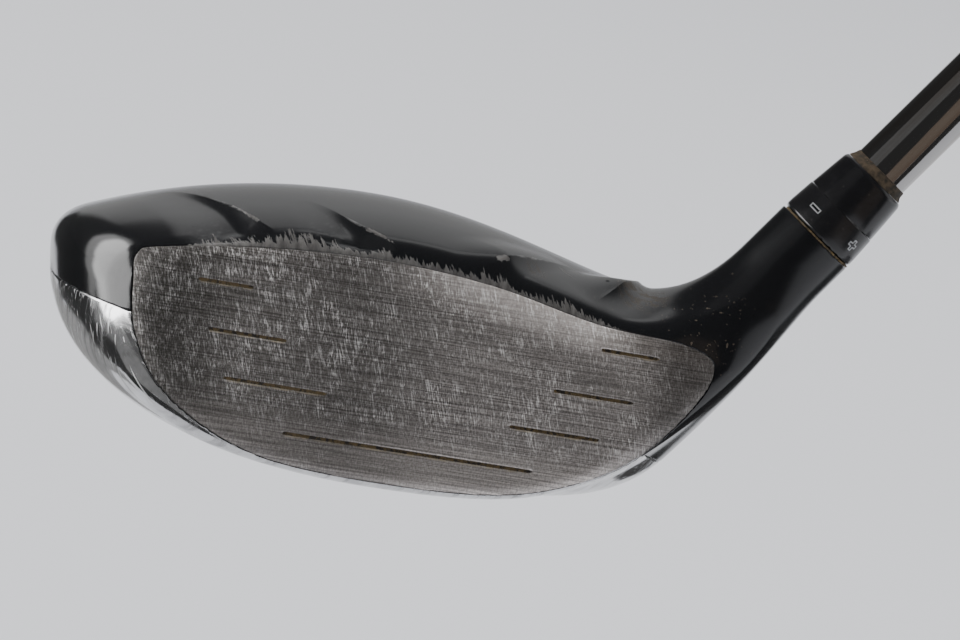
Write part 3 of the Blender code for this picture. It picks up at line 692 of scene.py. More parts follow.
# --- Turned pieces -----------------------------------------------------------------------------------
def axes_about(axis):
    """Two directions square to an axis: towards the face's front, and on round from there."""
    front = unit(np.array([0.0, -1.0, 0.0]) + axis[1] * axis)
    return front, np.cross(axis, front)


def eased(profile, size, steps=3):
    """A closed outline of (radius, height) with each corner off the axis rounded."""
    profile = np.array(profile, float)
    points = []
    for i, corner in enumerate(profile):
        before, after = profile[i - 1], profile[(i + 1) % len(profile)]
        lengths = np.linalg.norm(before - corner), np.linalg.norm(after - corner)
        if corner[0] < 1e-6 or min(lengths) < 1e-6:
            points.append(corner)
            continue
        reach = min(size, 0.4 * min(lengths))
        start = corner + (before - corner) / lengths[0] * reach
        end = corner + (after - corner) / lengths[1] * reach
        for t in np.linspace(0, 1, steps + 1):
            points.append((1 - t)**2 * start + 2 * t * (1 - t) * corner + t**2 * end)
    return np.array(points)


def stepped(profile, longest):
    """The same outline with points added, so that no span off the axis is longer than given."""
    points = []
    for start, end in zip(profile, np.roll(profile, -1, 0)):
        count = max(1, math.ceil(np.linalg.norm(end - start) / longest))
        points += [start + (end - start) * share for share in np.arange(count) / count]
    return np.array(points)


def turned(name, profile, ground, axis, sides, shape=None, sharp=32.0):
    """Revolves a closed outline of (radius, height) about an axis; shape may change each radius."""
    radius, height = np.array(profile, float).T
    angle = np.arange(sides) * 2 * math.pi / sides
    rings = np.repeat(radius[:, None], sides, 1)
    if shape:
        rings = np.where(rings > 1e-6, shape(rings, height[:, None], angle[None]), 0)
    front, side = axes_about(axis)
    around = np.cos(angle)[:, None] * front + np.sin(angle)[:, None] * side
    points = ground + height[:, None, None] * axis + rings[..., None] * around
    count = len(profile)
    ring, turn = np.meshgrid(np.arange(count), np.arange(sides), indexing="ij")
    after, onward = (ring + 1) % count, (turn + 1) % sides
    quads = np.stack([ring * sides + turn, ring * sides + onward,
                      after * sides + onward, after * sides + turn], -1).reshape(-1, 4)
    return welded(name, points.reshape(-1, 3), quads, sharp)


def welded(name, points, quads, sharp):
    """A closed mesh with doubled points merged, flat slivers dropped and its faces pointing out."""
    shape = bmesh.new()
    corners = [shape.verts.new(point) for point in points * MM]
    for quad in quads:
        shape.faces.new([corners[i] for i in quad])
    bmesh.ops.remove_doubles(shape, verts=shape.verts, dist=1e-7)
    loose = [edge for edge in shape.edges if not edge.link_faces]
    bmesh.ops.delete(shape, geom=loose, context="EDGES")
    bmesh.ops.recalc_face_normals(shape, faces=shape.faces)
    mesh = bpy.data.meshes.new(name)
    shape.to_mesh(mesh)
    shape.free()
    mesh.shade_smooth()
    mesh.set_sharp_from_angle(angle=math.radians(sharp))
    return mesh


def on_hosel(name, profile, look, body, slot, *stands_for, sides=96, shape=None):
    mesh = turned(name, profile, HOSEL_GROUND, HOSEL_AXIS, sides, shape)
    return link(name, mesh, look, body, slot, *stands_for)


def lobes(radius, depth, low, high):
    """A radius change that turns a round socket wall into a six-lobed one."""
    def shape(rings, height, angle):
        wall = (height > low) & (height < high) & (np.abs(rings - radius) < 0.6)
        return rings + np.where(wall, depth * np.cos(6 * angle), 0)
    return shape


SLEEVE_TOP, COLLAR_LOW = 55.7, 50.9
SLEEVE_BORE, SLEEVE_CORE, SLEEVE_KEY, SLEEVE_RADIUS = 4.6, 3.8, 4.4, 5.1
SLEEVE_LOW, KEY_TOP = 17.0, 26.1
COLLAR_RADIUS, COLLAR_TOP_RADIUS, COLLAR_SHOULDER = 6.12, 5.87, 1.2
KEY_HALF_ANGLE = math.radians(9.5)
FERRULE_LOW, FERRULE_TOP, BEAD_TOP = 55.76, 62.1, 64.2
SHAFT_TIP_RADIUS, SHAFT_WALL, SHAFT_LOW, SHAFT_TOP = 4.25, 0.4, 28.3, 1061.0
STEP_START, STEP_LENGTH, STEP_COUNT, STEP_RISE = 250.0, 34.0, 16, 0.209
BAND_STEP, BAND_LENGTH = 9, 24.0
BAND_LOW = STEP_START + BAND_STEP * STEP_LENGTH - 29.0
GRIP_LOW, GRIP_TOP, CLUB_LENGTH = 800.0, 1062.0, 1066.8
GRIP_MOUTH_RADIUS, GRIP_BUTT_RADIUS, GRIP_TAPER = 9.2, 13.3, 1.4
VENT_RADIUS = 1.5


def keyed(rings, height, angle):
    """Six keys that stand out of the sleeve's core."""
    turn = np.abs((angle + math.pi / 6) % (math.pi / 3) - math.pi / 6)
    key = (turn < KEY_HALF_ANGLE) & (height > SLEEVE_LOW + 0.5) & (height < KEY_TOP)
    return np.where(key & (np.abs(rings - SLEEVE_CORE) < 0.3), SLEEVE_KEY, rings)


def make_sleeve(look):
    core = [(CLEAR_HOLE, SLEEVE_LOW), (SLEEVE_CORE, SLEEVE_LOW), (SLEEVE_CORE, SLEEVE_LOW + 0.45),
            (SLEEVE_CORE, SLEEVE_LOW + 0.55), (SLEEVE_CORE, KEY_TOP - 0.05),
            (SLEEVE_CORE, KEY_TOP + 0.05), (SLEEVE_CORE, 27.0), (SLEEVE_RADIUS, 27.8)]
    collar = [(SLEEVE_RADIUS, COLLAR_LOW), (COLLAR_RADIUS - 0.2, COLLAR_LOW),
              (COLLAR_RADIUS + 0.01, COLLAR_LOW + 0.35), (COLLAR_RADIUS, COLLAR_LOW + COLLAR_SHOULDER),
              (COLLAR_TOP_RADIUS, SLEEVE_TOP), (SLEEVE_BORE, SLEEVE_TOP),
              (SLEEVE_BORE, 28.0), (CLEAR_HOLE, 28.0)]
    profile = eased(core + collar, 0.14)
    on_hosel("sleeve_turned", profile, look, "shaft", "black_aluminium", "sleeve", sides=120, shape=keyed)


def make_ferrule(look):
    profile = [(SLEEVE_BORE, FERRULE_LOW), (5.8, FERRULE_LOW), (5.62, FERRULE_LOW + 2.2),
               (5.44, FERRULE_LOW + 4.4), (5.3, FERRULE_TOP - 0.5), (5.02, FERRULE_TOP),
               (SLEEVE_BORE, FERRULE_TOP)]
    on_hosel("ferrule_turned", eased(profile, 0.16), look, "shaft", "black_plastic", "ferrule")


def lumpy(strength, seed, reach):
    """A radius change that makes old glue or dirt uneven where it is wider than a reach."""
    def shape(rings, height, angle):
        lumps = sum(np.sin((3 + 4 * k) * angle + seed * (k + 1) + (1.3 + k) * height) / (k + 1.5)
                    for k in range(4))
        return rings + np.where(rings > reach, strength * lumps, 0)
    return shape


def make_bead(look):
    low = FERRULE_TOP + 0.03
    profile = [(SHAFT_TIP_RADIUS + 0.04, low), (4.88, low), (4.74, low + 0.3), (4.54, low + 0.65),
               (4.42, low + 1.0), (4.36, BEAD_TOP - 0.65), (SHAFT_TIP_RADIUS + 0.04, BEAD_TOP - 0.55)]
    profile = stepped(eased(profile, 0.15), 0.2)
    on_hosel("epoxy_bead_worn", profile, look, "shaft", "old_epoxy", "epoxy_bead", sides=192,
             shape=lumpy(0.045, 1.7, 4.35))


def make_mouth_dirt(look):
    """Dried dirt caught on the hosel's mouth, under the sleeve's collar."""
    def shape(rings, height, angle):
        share = 0.5 + 0.5 * np.cos(angle - math.radians(12.0))
        lumps = 0.10 * np.sin(23 * angle + 1.0) + 0.08 * np.sin(41 * angle) + 0.05 * np.sin(67 * angle)
        return rings + np.where(rings > 5.7, (share - 0.75) * 0.5 + lumps * share, 0)
    profile = stepped(np.array([(5.5, 50.6), (6.0, 50.6), (6.0, 50.84), (5.5, 50.84)]), 0.12)
    on_hosel("mouth_dirt", profile, look, "head", "old_epoxy", sides=240, shape=shape)


def make_hosel_core(look):
    """The wall of the screw's recess and the web that the screw pulls against."""
    outer = TUBE_RADIUS - 0.2
    bore = BORE_RADIUS + 0.05
    profile = [(RECESS_RADIUS, 0), (outer, 0), (outer, CORE_TOP), (bore, CORE_TOP), (bore, WEB_HIGH),
               (CLEAR_HOLE, WEB_HIGH), (CLEAR_HOLE, WEB_LOW), (RECESS_RADIUS, WEB_LOW)]
    mesh = turned("hosel_core", stepped(eased(profile, 0.1, 2), 3.0), HOSEL_GROUND, HOSEL_AXIS, 96)
    places = np.array([corner.co for corner in mesh.vertices]) / MM
    height, _ = axis_place(places, HOSEL_GROUND, HOSEL_AXIS)
    floor = height.copy()
    for _ in range(20):
        probe = places + (floor - height)[:, None] * HOSEL_AXIS
        floor = floor + np.clip(head_surface(probe) + SKIN_THICKNESS, -2, 2)
    lifted = np.where(height < WEB_LOW - 0.5, np.maximum(height, floor), height)
    places += (lifted - height)[:, None] * HOSEL_AXIS
    mesh.vertices.foreach_set("co", (places * MM).astype(np.float32).ravel())
    mesh.update()
    link("hosel_core", mesh, look, "head", "black_paint")


def make_hosel_screw(look):
    low, head_top, top, shank = 5.9, 9.9, 26.0, 2.5
    profile = [(0, top), (shank - 0.7, top), (shank, top - 0.8), (shank, head_top), (3.5, head_top),
               (3.5, low + 0.3), (3.2, low), (1.85, low), (1.75, low + 0.2), (1.75, low + 2.4),
               (0, low + 2.4)]
    on_hosel("hosel_screw_turned", stepped(eased(profile, 0.08, 2), 0.6), look, "hosel_screw",
             "machined_steel", "hosel_screw", shape=lobes(1.8, 0.25, low + 0.1, low + 2.5))


def shaft_outline():
    """The stepped tube's outer side, from the tip up."""
    outer = [(SHAFT_TIP_RADIUS, SHAFT_LOW)]
    for step in range(STEP_COUNT):
        height = STEP_START + step * STEP_LENGTH
        outer.append((SHAFT_TIP_RADIUS + step * STEP_RISE, height))
        outer.append((SHAFT_TIP_RADIUS + (step + 1) * STEP_RISE, height + 1.2))
    return outer + [(outer[-1][0], SHAFT_TOP)]


def make_shaft(look):
    outer = shaft_outline()
    inner = [(radius - SHAFT_WALL, height) for radius, height in reversed(outer)]
    profile = eased(outer + inner, 0.35, 2)
    on_hosel("shaft_tube", stepped(profile, 12.0), look, "shaft", "shaft_chrome", "shaft", sides=72)


def make_band(look):
    radius, high = SHAFT_TIP_RADIUS + BAND_STEP * STEP_RISE, BAND_LOW + BAND_LENGTH
    profile = [(radius + 0.25, BAND_LOW), (radius + 0.5, BAND_LOW), (radius + 0.5, high),
               (radius + 0.25, high)]
    on_hosel("shaft_band_film", eased(profile, 0.08), look, "shaft", "band_film", "shaft_band", sides=72)


def grip_texture(rings, height, angle):
    """Crossing grooves between a plain mouth and a plain butt."""
    span = (height - GRIP_LOW) / (GRIP_TOP - GRIP_LOW)
    outside = rings > GRIP_MOUTH_RADIUS - 0.3
    middle = np.clip((span - 0.07) / 0.02, 0, 1) * np.clip((0.95 - span) / 0.02, 0, 1)
    right = np.abs(np.sin(4.5 * angle + height * 0.26))
    left = np.abs(np.sin(4.5 * angle - height * 0.26))
    groove = np.clip(1 - np.minimum(right, left) / 0.22, 0, 1)
    spine = np.clip((np.abs(np.cos(angle / 2)) - 0.25) / 0.1, 0, 1)
    return rings - np.where(outside, 0.34 * groove * middle * spine, 0)


def make_grip(look):
    span, spread = GRIP_TOP - GRIP_LOW, GRIP_BUTT_RADIUS - GRIP_MOUTH_RADIUS
    heights = GRIP_LOW + span * np.linspace(0.004, 1, 190)
    side = [(GRIP_MOUTH_RADIUS + spread * ((height - GRIP_LOW) / span)**GRIP_TAPER, height)
            for height in heights]
    bore = SHAFT_TIP_RADIUS + STEP_COUNT * STEP_RISE + 0.9
    profile = [(bore, GRIP_LOW), (GRIP_MOUTH_RADIUS - 0.5, GRIP_LOW)] + side
    profile += [(GRIP_BUTT_RADIUS - 0.35, GRIP_TOP + 0.1), (bore, GRIP_TOP + 0.1)]
    on_hosel("grip_sleeve", profile, look, "shaft", "grip_rubber", "grip", sides=144,
             shape=grip_texture)


def make_grip_cap(look):
    low = GRIP_TOP + 0.3
    profile = [(VENT_RADIUS, low), (GRIP_BUTT_RADIUS - 0.25, low), (GRIP_BUTT_RADIUS, low + 0.3),
               (GRIP_BUTT_RADIUS, CLUB_LENGTH - 2.0), (GRIP_BUTT_RADIUS - 1.6, CLUB_LENGTH - 0.3),
               (9.6, CLUB_LENGTH), (9.2, CLUB_LENGTH - 0.45), (7.6, CLUB_LENGTH - 0.45),
               (7.2, CLUB_LENGTH), (VENT_RADIUS + 0.4, CLUB_LENGTH), (VENT_RADIUS, CLUB_LENGTH - 0.4)]
    on_hosel("grip_cap_moulded", eased(profile, 0.4), look, "shaft", "grip_rubber", "grip_cap", sides=120)


def make_sole_weight(port_look, screw_look):
    thread, counterbore = 6.3, 8.1
    port = [(thread, 4.1), (counterbore, 4.1), (counterbore, 0.9), (counterbore + 0.4, 0.5),
            (9.7, 0.5), (10.0, 0.8), (10.0, 9.0), (thread, 9.0)]
    mesh = turned("weight_port_ring", eased(port, 0.12), WEIGHT_PLACE, WEIGHT_AXIS, 120)
    link("weight_port_ring", mesh, port_look, "head", "machined_steel", "weight_port")
    top = [(0, 8.6), (5.6, 8.6), (6.0, 8.2), (6.0, 2.7), (7.8, 2.7), (7.8, 1.3), (7.3, 0.8)]
    dish = [(5.2, 0.8), (4.9, 1.0), (3.2, 1.0), (2.6, 1.1), (2.4, 1.3), (2.4, 2.2), (0, 2.2)]
    profile = stepped(eased(top + dish, 0.12), 0.5)
    mesh = turned("weight_screw_turned", profile, WEIGHT_PLACE, WEIGHT_AXIS, 120,
                  lobes(2.4, 0.35, 1.15, 2.3))
    link("weight_screw_turned", mesh, screw_look, "weight_screw", "machined_steel", "weight_screw")


# --- Marks printed on the sleeve ----------------------------------------------------------------------
MARK_LINE, MARK_PROUD = 0.16, 0.025
PLUS = [(0.3, 0.3), (0.3, 0.85), (-0.3, 0.85), (-0.3, 0.3), (-0.85, 0.3), (-0.85, -0.3),
        (-0.3, -0.3), (-0.3, -0.85), (0.3, -0.85), (0.3, -0.3), (0.85, -0.3), (0.85, 0.3)]
MINUS = [(0.95, 0.34), (-0.95, 0.34), (-0.95, -0.34), (0.95, -0.34)]
MARK_HEIGHT, MINUS_ANGLE, PLUS_ANGLE = 53.5, math.radians(-51.0), math.radians(25.5)


def on_collar(across, along, angle, proud):
    """A place on the sleeve's collar, from a spot in a mark's own flat drawing."""
    height = MARK_HEIGHT + along
    shoulder = COLLAR_LOW + COLLAR_SHOULDER
    share = (height - shoulder) / (SLEEVE_TOP - shoulder)
    radius = COLLAR_RADIUS + (COLLAR_TOP_RADIUS - COLLAR_RADIUS) * share + proud
    front, side = axes_about(HOSEL_AXIS)
    turn = angle + across / radius
    return HOSEL_GROUND + height * HOSEL_AXIS + radius * (math.cos(turn) * front + math.sin(turn) * side)


def make_mark(name, outline, angle, look):
    """An outlined sign: a thin raised line round a closed drawing."""
    corners = smooth_line(outline, 5)
    ahead = np.roll(corners, -1, 0) - corners
    behind = corners - np.roll(corners, 1, 0)
    normal = unit(unit(ahead) + unit(behind))[:, ::-1] * np.array([1, -1])
    loops = []
    for inset, proud in ((0, -0.02), (0, MARK_PROUD), (MARK_LINE, MARK_PROUD), (MARK_LINE, -0.02)):
        loops += [on_collar(*(corner - inset * across), angle, proud)
                  for corner, across in zip(corners, normal)]
    count = len(corners)
    quads = []
    for ring in range(4):
        for i in range(count):
            after, onward = (ring + 1) % 4, (i + 1) % count
            quads.append((ring * count + i, ring * count + onward,
                          after * count + onward, after * count + i))
    mesh = welded(name, np.array(loops), quads, 30.0)
    link(name, mesh, look, "shaft", "black_aluminium")


def smooth_line(outline, steps):
    """A closed drawing with points added along its straight sides."""
    outline = np.array(outline)
    return np.concatenate([start + (end - start) * np.arange(steps)[:, None] / steps
                           for start, end in zip(outline, np.roll(outline, -1, 0))])


# --- Materials ---------------------------------------------------------------------------------------
class Look:
    """A material, and short calls that add nodes to it.  Places are in millimetres on the object."""

    def __init__(self, name, roughness=0.4, metallic=0.0):
        self.material = bpy.data.materials.new(name)
        self.material.use_nodes = True
        self.tree = self.material.node_tree
        self.shader = self.tree.nodes["Principled BSDF"]
        self.set("Roughness", roughness)
        self.set("Metallic", metallic)
        coordinates = self.tree.nodes.new("ShaderNodeTexCoord").outputs["Object"]
        self.place = self.vector("MULTIPLY", coordinates, (1 / MM,) * 3)

    def put(self, socket, value):
        if isinstance(value, bpy.types.NodeSocket):
            self.tree.links.new(value, socket)
        else:
            socket.default_value = value

    def set(self, name, value):
        self.put(self.shader.inputs[name], (*value, 1.0) if isinstance(value, tuple) else value)

    def vector(self, operation, a, b):
        node = self.tree.nodes.new("ShaderNodeVectorMath")
        node.operation = operation
        self.put(node.inputs[0], a)
        self.put(node.inputs[1], b)
        return node.outputs["Value" if operation in ("DOT_PRODUCT", "LENGTH") else "Vector"]

    def math(self, operation, a, b=0.0, c=0.0):
        node = self.tree.nodes.new("ShaderNodeMath")
        node.operation = operation
        for socket, value in zip(node.inputs, (a, b, c)):
            self.put(socket, value)
        return node.outputs[0]

    def times(self, a, b):
        return self.math("MULTIPLY", a, b)

    def plus(self, a, b):
        return self.math("ADD", a, b)

    def most(self, a, b):
        return self.math("MAXIMUM", a, b)

    def join(self, x, y, z):
        node = self.tree.nodes.new("ShaderNodeCombineXYZ")
        for socket, value in zip(node.inputs, (x, y, z)):
            self.put(socket, value)
        return node.outputs[0]

    def along(self, direction, origin=(0.0, 0.0, 0.0)):
        """Distance from an origin along a direction."""
        offset = self.vector("SUBTRACT", self.place, tuple(float(v) for v in origin))
        return self.vector("DOT_PRODUCT", offset, tuple(float(v) for v in direction))

    def noise(self, place, scale=1.0, detail=2.0, roughness=0.5, warp=0.0):
        node = self.tree.nodes.new("ShaderNodeTexNoise")
        for name, value in (("Vector", place), ("Scale", scale), ("Detail", detail),
                            ("Roughness", roughness), ("Distortion", warp)):
            self.put(node.inputs[name], value)
        return node.outputs["Fac"]

    def stretch(self, place, x, y, z, turn=0.0):
        node = self.tree.nodes.new("ShaderNodeMapping")
        node.vector_type = "POINT"
        self.put(node.inputs["Vector"], place)
        self.put(node.inputs["Rotation"], (0.0, 0.0, turn))
        return self.vector("MULTIPLY", node.outputs[0], (x, y, z))

    def range(self, value, low, high, start=0.0, end=1.0):
        node = self.tree.nodes.new("ShaderNodeMapRange")
        node.interpolation_type = "SMOOTHSTEP"
        for socket, setting in zip(node.inputs, (value, low, high, start, end)):
            self.put(socket, setting)
        return node.outputs[0]

    def blend(self, share, a, b):
        """A number from a to b."""
        return self.plus(self.times(self.math("SUBTRACT", 1.0, share), a), self.times(share, b))

    def mix(self, share, a, b, kind="MIX"):
        """A colour from a to b."""
        node = self.tree.nodes.new("ShaderNodeMix")
        node.data_type = "RGBA"
        node.blend_type = kind
        self.put(node.inputs[0], share)
        for index, value in ((6, a), (7, b)):
            self.put(node.inputs[index], (*value, 1.0) if isinstance(value, tuple) else value)
        return node.outputs[2]

    def attribute(self, name):
        node = self.tree.nodes.new("ShaderNodeAttribute")
        node.attribute_name = name
        return node.outputs["Fac"]

    def bump(self, height, strength, distance, under=None):
        node = self.tree.nodes.new("ShaderNodeBump")
        self.put(node.inputs["Height"], height)
        self.put(node.inputs["Strength"], strength)
        self.put(node.inputs["Distance"], distance * MM)
        if under:
            self.put(node.inputs["Normal"], under)
        return node.outputs[0]

    def near(self, centre, radius, soft=0.5):
        """One within a radius of a place, fading to zero."""
        away = self.vector("LENGTH", self.vector("SUBTRACT", self.place, centre), (0, 0, 0))
        return self.range(away, radius, radius * soft)


# Chips and scratches in the paint: from, to, half width.
CREST_CHIPS = [
    ((-28.0, -1.0, 32.1), (-26.4, -4.4, 32.2), 0.12), ((-26.2, -4.9, 32.3), (-25.3, -6.6, 32.3), 0.3),
    ((-10.4, -8.1, 34.0), (-8.2, -9.8, 33.7), 0.38), ((-8.2, -9.9, 33.7), (-6.8, -10.9, 33.4), 0.15),
    ((8.2, -9.9, 33.4), (9.2, -9.4, 33.5), 0.55), ((28.4, -3.4, 30.6), (29.8, -1.2, 30.6), 0.1)]
SCRATCHES = [
    ((18.0, -1.9, 31.8), (20.3, -3.2, 31.2), 0.12), ((18.0, -1.9, 31.8), (21.6, -6.0, 30.6), 0.14),
    ((-39.6, -17.0, 27.2), (-38.3, -18.6, 25.6), 0.13)]


def hairlines(look, place, across, along, low, high, turn):
    """Fine scratches: long thin marks that run along the drawing's second direction."""
    line = look.noise(look.stretch(place, across, along, across, turn), 1.0, 3.0, 0.6)
    return look.range(line, low, high)


def chipped_edge(look):
    """Where paint is knocked off above the face, in uneven upright splinters."""
    across, gap = look.along((1.0, 0, 0)), look.attribute("edge_gap")
    lean = look.plus(across, look.times(gap, 0.34))
    fine = look.noise(look.join(look.times(lean, 1.9), look.times(gap, 0.30), 0.0),
                      1.0, 4.0, 0.66)
    broad = look.noise(look.join(look.times(across, 0.20), 3.1, 0.0), 1.0, 2.0, 0.5)
    toe_side = look.range(across, -4.0, -18.0)
    reach = look.times(look.range(fine, 0.36, 0.70, 0.2, 1.0),
                      look.plus(look.range(broad, 0.3, 0.7, 1.0, 2.2),
                                look.times(toe_side, 1.2)))
    ends = look.times(look.range(across, -36.0, -30.0), look.range(across, 30.0, 20.0))
    top = look.range(look.along((0, 0, 1.0)), 24.0, 26.0)
    reach = look.times(reach, ends)
    return look.times(top, look.range(look.math("SUBTRACT", reach, gap), -0.02, 0.10))


def strokes(look, marks, roughness):
    """One on straight marks from place to place, with ragged sides."""
    ragged = look.math("SUBTRACT", look.noise(look.place, 2.2, 3.0, 0.7), 0.5)
    whole = 0.0
    for start, end, width in marks:
        line = Vector(end) - Vector(start)
        share = look.math("DIVIDE", look.along(line, start), line.length_squared)
        share = look.math("MINIMUM", look.most(share, 0.0), 1.0)
        foot = look.vector("MULTIPLY", tuple(line), look.join(share, share, share))
        away = look.vector("SUBTRACT", look.vector("SUBTRACT", look.place, start), foot)
        distance = look.plus(look.vector("LENGTH", away, (0, 0, 0)),
                             look.times(ragged, roughness))
        whole = look.most(whole, look.range(distance, width, width * 0.7))
    return whole


def crest_highlight_lines(look):
    """A painted highlight: a thin pale line along each crest, broken here and there."""
    broken = look.range(look.noise(look.place, 0.8, 4.0, 0.65), 0.36, 0.6)
    return look.times(look.range(look.attribute("crest"), 0.72, 0.96), broken)


def black_paint():
    """Satin black paint, chipped to bare metal above the face, with a painted highlight along the crests.
    """
    look = Look("black_paint_look")
    fine = look.noise(look.place, 9.0, 3.0, 0.6)
    cloud = look.noise(look.place, 0.12, 3.0, 0.55)
    height = look.along((0, 0, 1.0))
    chips = look.most(chipped_edge(look), strokes(look, CREST_CHIPS, 1.3))
    bare = look.most(chips, look.times(strokes(look, SCRATCHES, 0.2), 0.8))
    speck_noise = look.noise(look.place, 1.7, 2.0, 0.5)
    front = look.range(look.along((0, -1.0, 0)), 4.0, 9.0)
    specks = look.most(look.times(look.range(speck_noise, 0.745, 0.77),
                                            look.range(look.along((1.0, 0, 0)), 14.0, 30.0)),
                       look.times(look.range(speck_noise, 0.66, 0.70),
                                 look.times(front, look.near((40.0, -10.0, 27.0), 9.0))))
    dirt = look.noise(look.place, 0.7, 5.0, 0.65)
    patches = look.most(look.times(look.near((14.5, -7.5, 32.0), 3.2, 0.3), 0.4),
                        look.near((31.0, -4.0, 29.6), 5.0, 0.4))
    soil = look.times(look.range(dirt, 0.42, 0.62), patches)
    base = look.mix(cloud, (0.0048, 0.0052, 0.0062), (0.0078, 0.0082, 0.0092))
    # Painted highlight: a pale grey line along the ridges' crests.
    base = look.mix(look.times(crest_highlight_lines(look), 0.7), base, (0.13, 0.13, 0.13))
    base = look.mix(look.times(soil, 0.5), base, (0.045, 0.031, 0.016))
    base = look.mix(look.times(specks, 0.55), base, (0.13, 0.105, 0.08))
    tone = look.noise(look.stretch(look.place, 1.4, 0.4, 0.4), 1.0, 3.0, 0.6)
    metal = look.mix(look.range(tone, 0.3, 0.7), (0.055, 0.052, 0.050), (0.130, 0.125, 0.120))
    look.set("Base Color", look.mix(bare, base, metal))
    look.set("Metallic", look.times(bare, 0.3))
    satin = look.blend(look.range(height, 24.0, 31.0), 0.12, 0.21)
    rough = look.plus(satin, look.times(look.math("SUBTRACT", fine, 0.5), 0.08))
    rough = look.plus(rough, look.times(soil, 0.3))
    look.set("Roughness", look.blend(bare, rough, 0.5))
    grain = look.bump(fine, 0.2, 0.01)
    look.set("Normal", look.bump(look.math("SUBTRACT", 1.0, bare), 0.7, 0.05, grain))
    return look.material


def polished_steel():
    """Mirror-polished steel with streaky scratches that follow the sole's sweep."""
    look = Look("polished_steel_look", metallic=1.0)
    sweep = look.join(look.along((0.5, -0.5, 0.7)), look.along((0.55, 0.8, 0.2)), 0.0)
    streak = look.noise(look.stretch(sweep, 0.12, 1.5, 0.5), 1.0, 5.0, 0.66)
    cloud = look.noise(look.place, 0.25, 4.0, 0.6)
    long_marks = hairlines(look, sweep, 3.4, 0.22, 0.60, 0.66, 1.45)
    short_marks = hairlines(look, sweep, 3.0, 0.5, 0.64, 0.69, 0.9)
    wear = look.most(look.times(long_marks, 0.8), short_marks)
    base = look.mix(look.range(cloud, 0.3, 0.7), (0.44, 0.44, 0.445), (0.60, 0.60, 0.605))
    dull = look.range(streak, 0.48, 0.66)
    look.set("Base Color", look.mix(look.times(dull, 0.5), base, (0.17, 0.168, 0.165)))
    look.set("Roughness", look.blend(wear, look.blend(dull, 0.09, 0.24), 0.45))
    look.set("Normal", look.bump(look.plus(streak, look.times(wear, -0.5)), 0.45, 0.03))
    return look.material


def face_scuffs(look, flat):
    """Upright ball scuffs in three slants, from a fine haze to single long marks."""
    marks = [hairlines(look, flat, 5.4, 0.75, 0.52, 0.68, math.radians(-14)),
             hairlines(look, flat, 7.0, 1.4, 0.53, 0.69, math.radians(-6)),
             hairlines(look, flat, 5.0, 0.24, 0.56, 0.65, math.radians(-19))]
    strength = look.noise(look.stretch(flat, 0.7, 0.45, 1), 1.0, 3.0, 0.6)
    marks = look.most(marks[0], look.most(marks[1], marks[2]))
    return look.times(marks, look.range(strength, 0.34, 0.66, 0.3, 1.15))


def brushed_face():
    """Dark milled steel with level tool lines, a haze of ball scuffs and dirt in the score lines, with
    painted highlights along the top edge and under the score lines.
    """
    look = Look("brushed_face_look", metallic=1.0)
    across, up = look.along((1.0, 0, 0), FACE_CENTRE), look.along(FACE_UP, FACE_CENTRE)
    flat = look.join(across, up, 0.0)
    inset = look.attribute("edge_gap")
    cloud = look.noise(look.stretch(flat, 0.09, 0.14, 1), 1.0, 4.0, 0.62)
    grain = look.noise(look.stretch(flat, 4.0, 2.4, 1), 1.0, 4.0, 0.7)
    mill = look.noise(look.stretch(flat, 0.06, 4.6, 1), 1.0, 3.0, 0.6)
    patches = look.range(cloud, 0.28, 0.68, 0.35, 1.0)
    # A band along the face's top edge toward the heel: more scuffs there, and a painted highlight that
    # brightens the steel.
    scuff_and_highlight_band = look.times(look.range(inset, 6.0, 0.5), look.range(up, 2.0, 8.0))
    hot = look.times(scuff_and_highlight_band, look.times(look.range(across, -12.0, 12.0),
                                                    look.range(across, 31.0, 22.0)))
    low = look.range(up, -6.0, -10.5)
    end = look.range(across, 29.0, 37.0)
    toe = look.range(across, -24.0, -36.0)
    busy = look.times(patches, look.blend(look.most(low, end), 1.0, 0.3))
    busy = look.times(busy, look.blend(toe, 1.0, 0.6))
    scuff = look.times(face_scuffs(look, flat), look.plus(busy, hot))
    scuff = look.times(scuff, look.range(mill, 0.36, 0.60, 0.45, 1.0))
    level = look.plus(look.blend(look.most(toe, end), 1.0, 0.42),
                      look.times(low, 0.5))
    level = look.times(level, look.range(across, -12.0, 10.0, 0.66, 1.32))
    level = look.times(level, look.range(grain, 0.3, 0.7, 0.68, 1.32))
    level = look.times(level, look.range(mill, 0.33, 0.67, 0.66, 1.34))
    # Painted highlight: the top-edge band is lifted well above the rest of the face.
    level = look.plus(level, look.times(hot, 2.4))
    dark = look.vector("MULTIPLY", (0.215, 0.198, 0.187), look.join(level, level, level))
    base = look.mix(look.times(scuff, 0.9), dark, (0.86, 0.84, 0.82))
    groove = look.attribute("groove")
    crumbs = look.range(look.noise(flat, 1.1, 4.0, 0.65), 0.40, 0.56)
    ochre = look.mix(look.noise(flat, 2.4, 3.0, 0.6), (0.035, 0.024, 0.012), (0.165, 0.115, 0.050))
    shade = look.mix(crumbs, (0.018, 0.015, 0.012), ochre)
    ragged = look.times(look.math("SUBTRACT", look.noise(flat, 3.0, 3.0, 0.7), 0.5), 1.1)
    filled = look.range(look.plus(groove, ragged), 0.25, 0.75)
    # Painted highlight: a pale beige line along the lower edge of each score line.
    lip_highlight = look.times(look.range(look.attribute("lower_lip"), 0.35, 0.9),
                    look.range(look.noise(flat, 0.5, 4.0, 0.6), 0.38, 0.62))
    base = look.mix(look.times(lip_highlight, 0.75), base, (0.42, 0.36, 0.26))
    look.set("Base Color", look.mix(filled, base, shade))
    look.set("Metallic", look.blend(filled, look.blend(scuff, 0.75, 0.35), 0.0))
    look.set("Roughness", look.blend(filled, look.blend(scuff, 0.42, 0.5), 0.85))
    lines = look.bump(mill, 0.3, 0.015)
    look.set("Normal", look.bump(look.math("SUBTRACT", grain, scuff), 0.5, 0.03, lines))
    return look.material


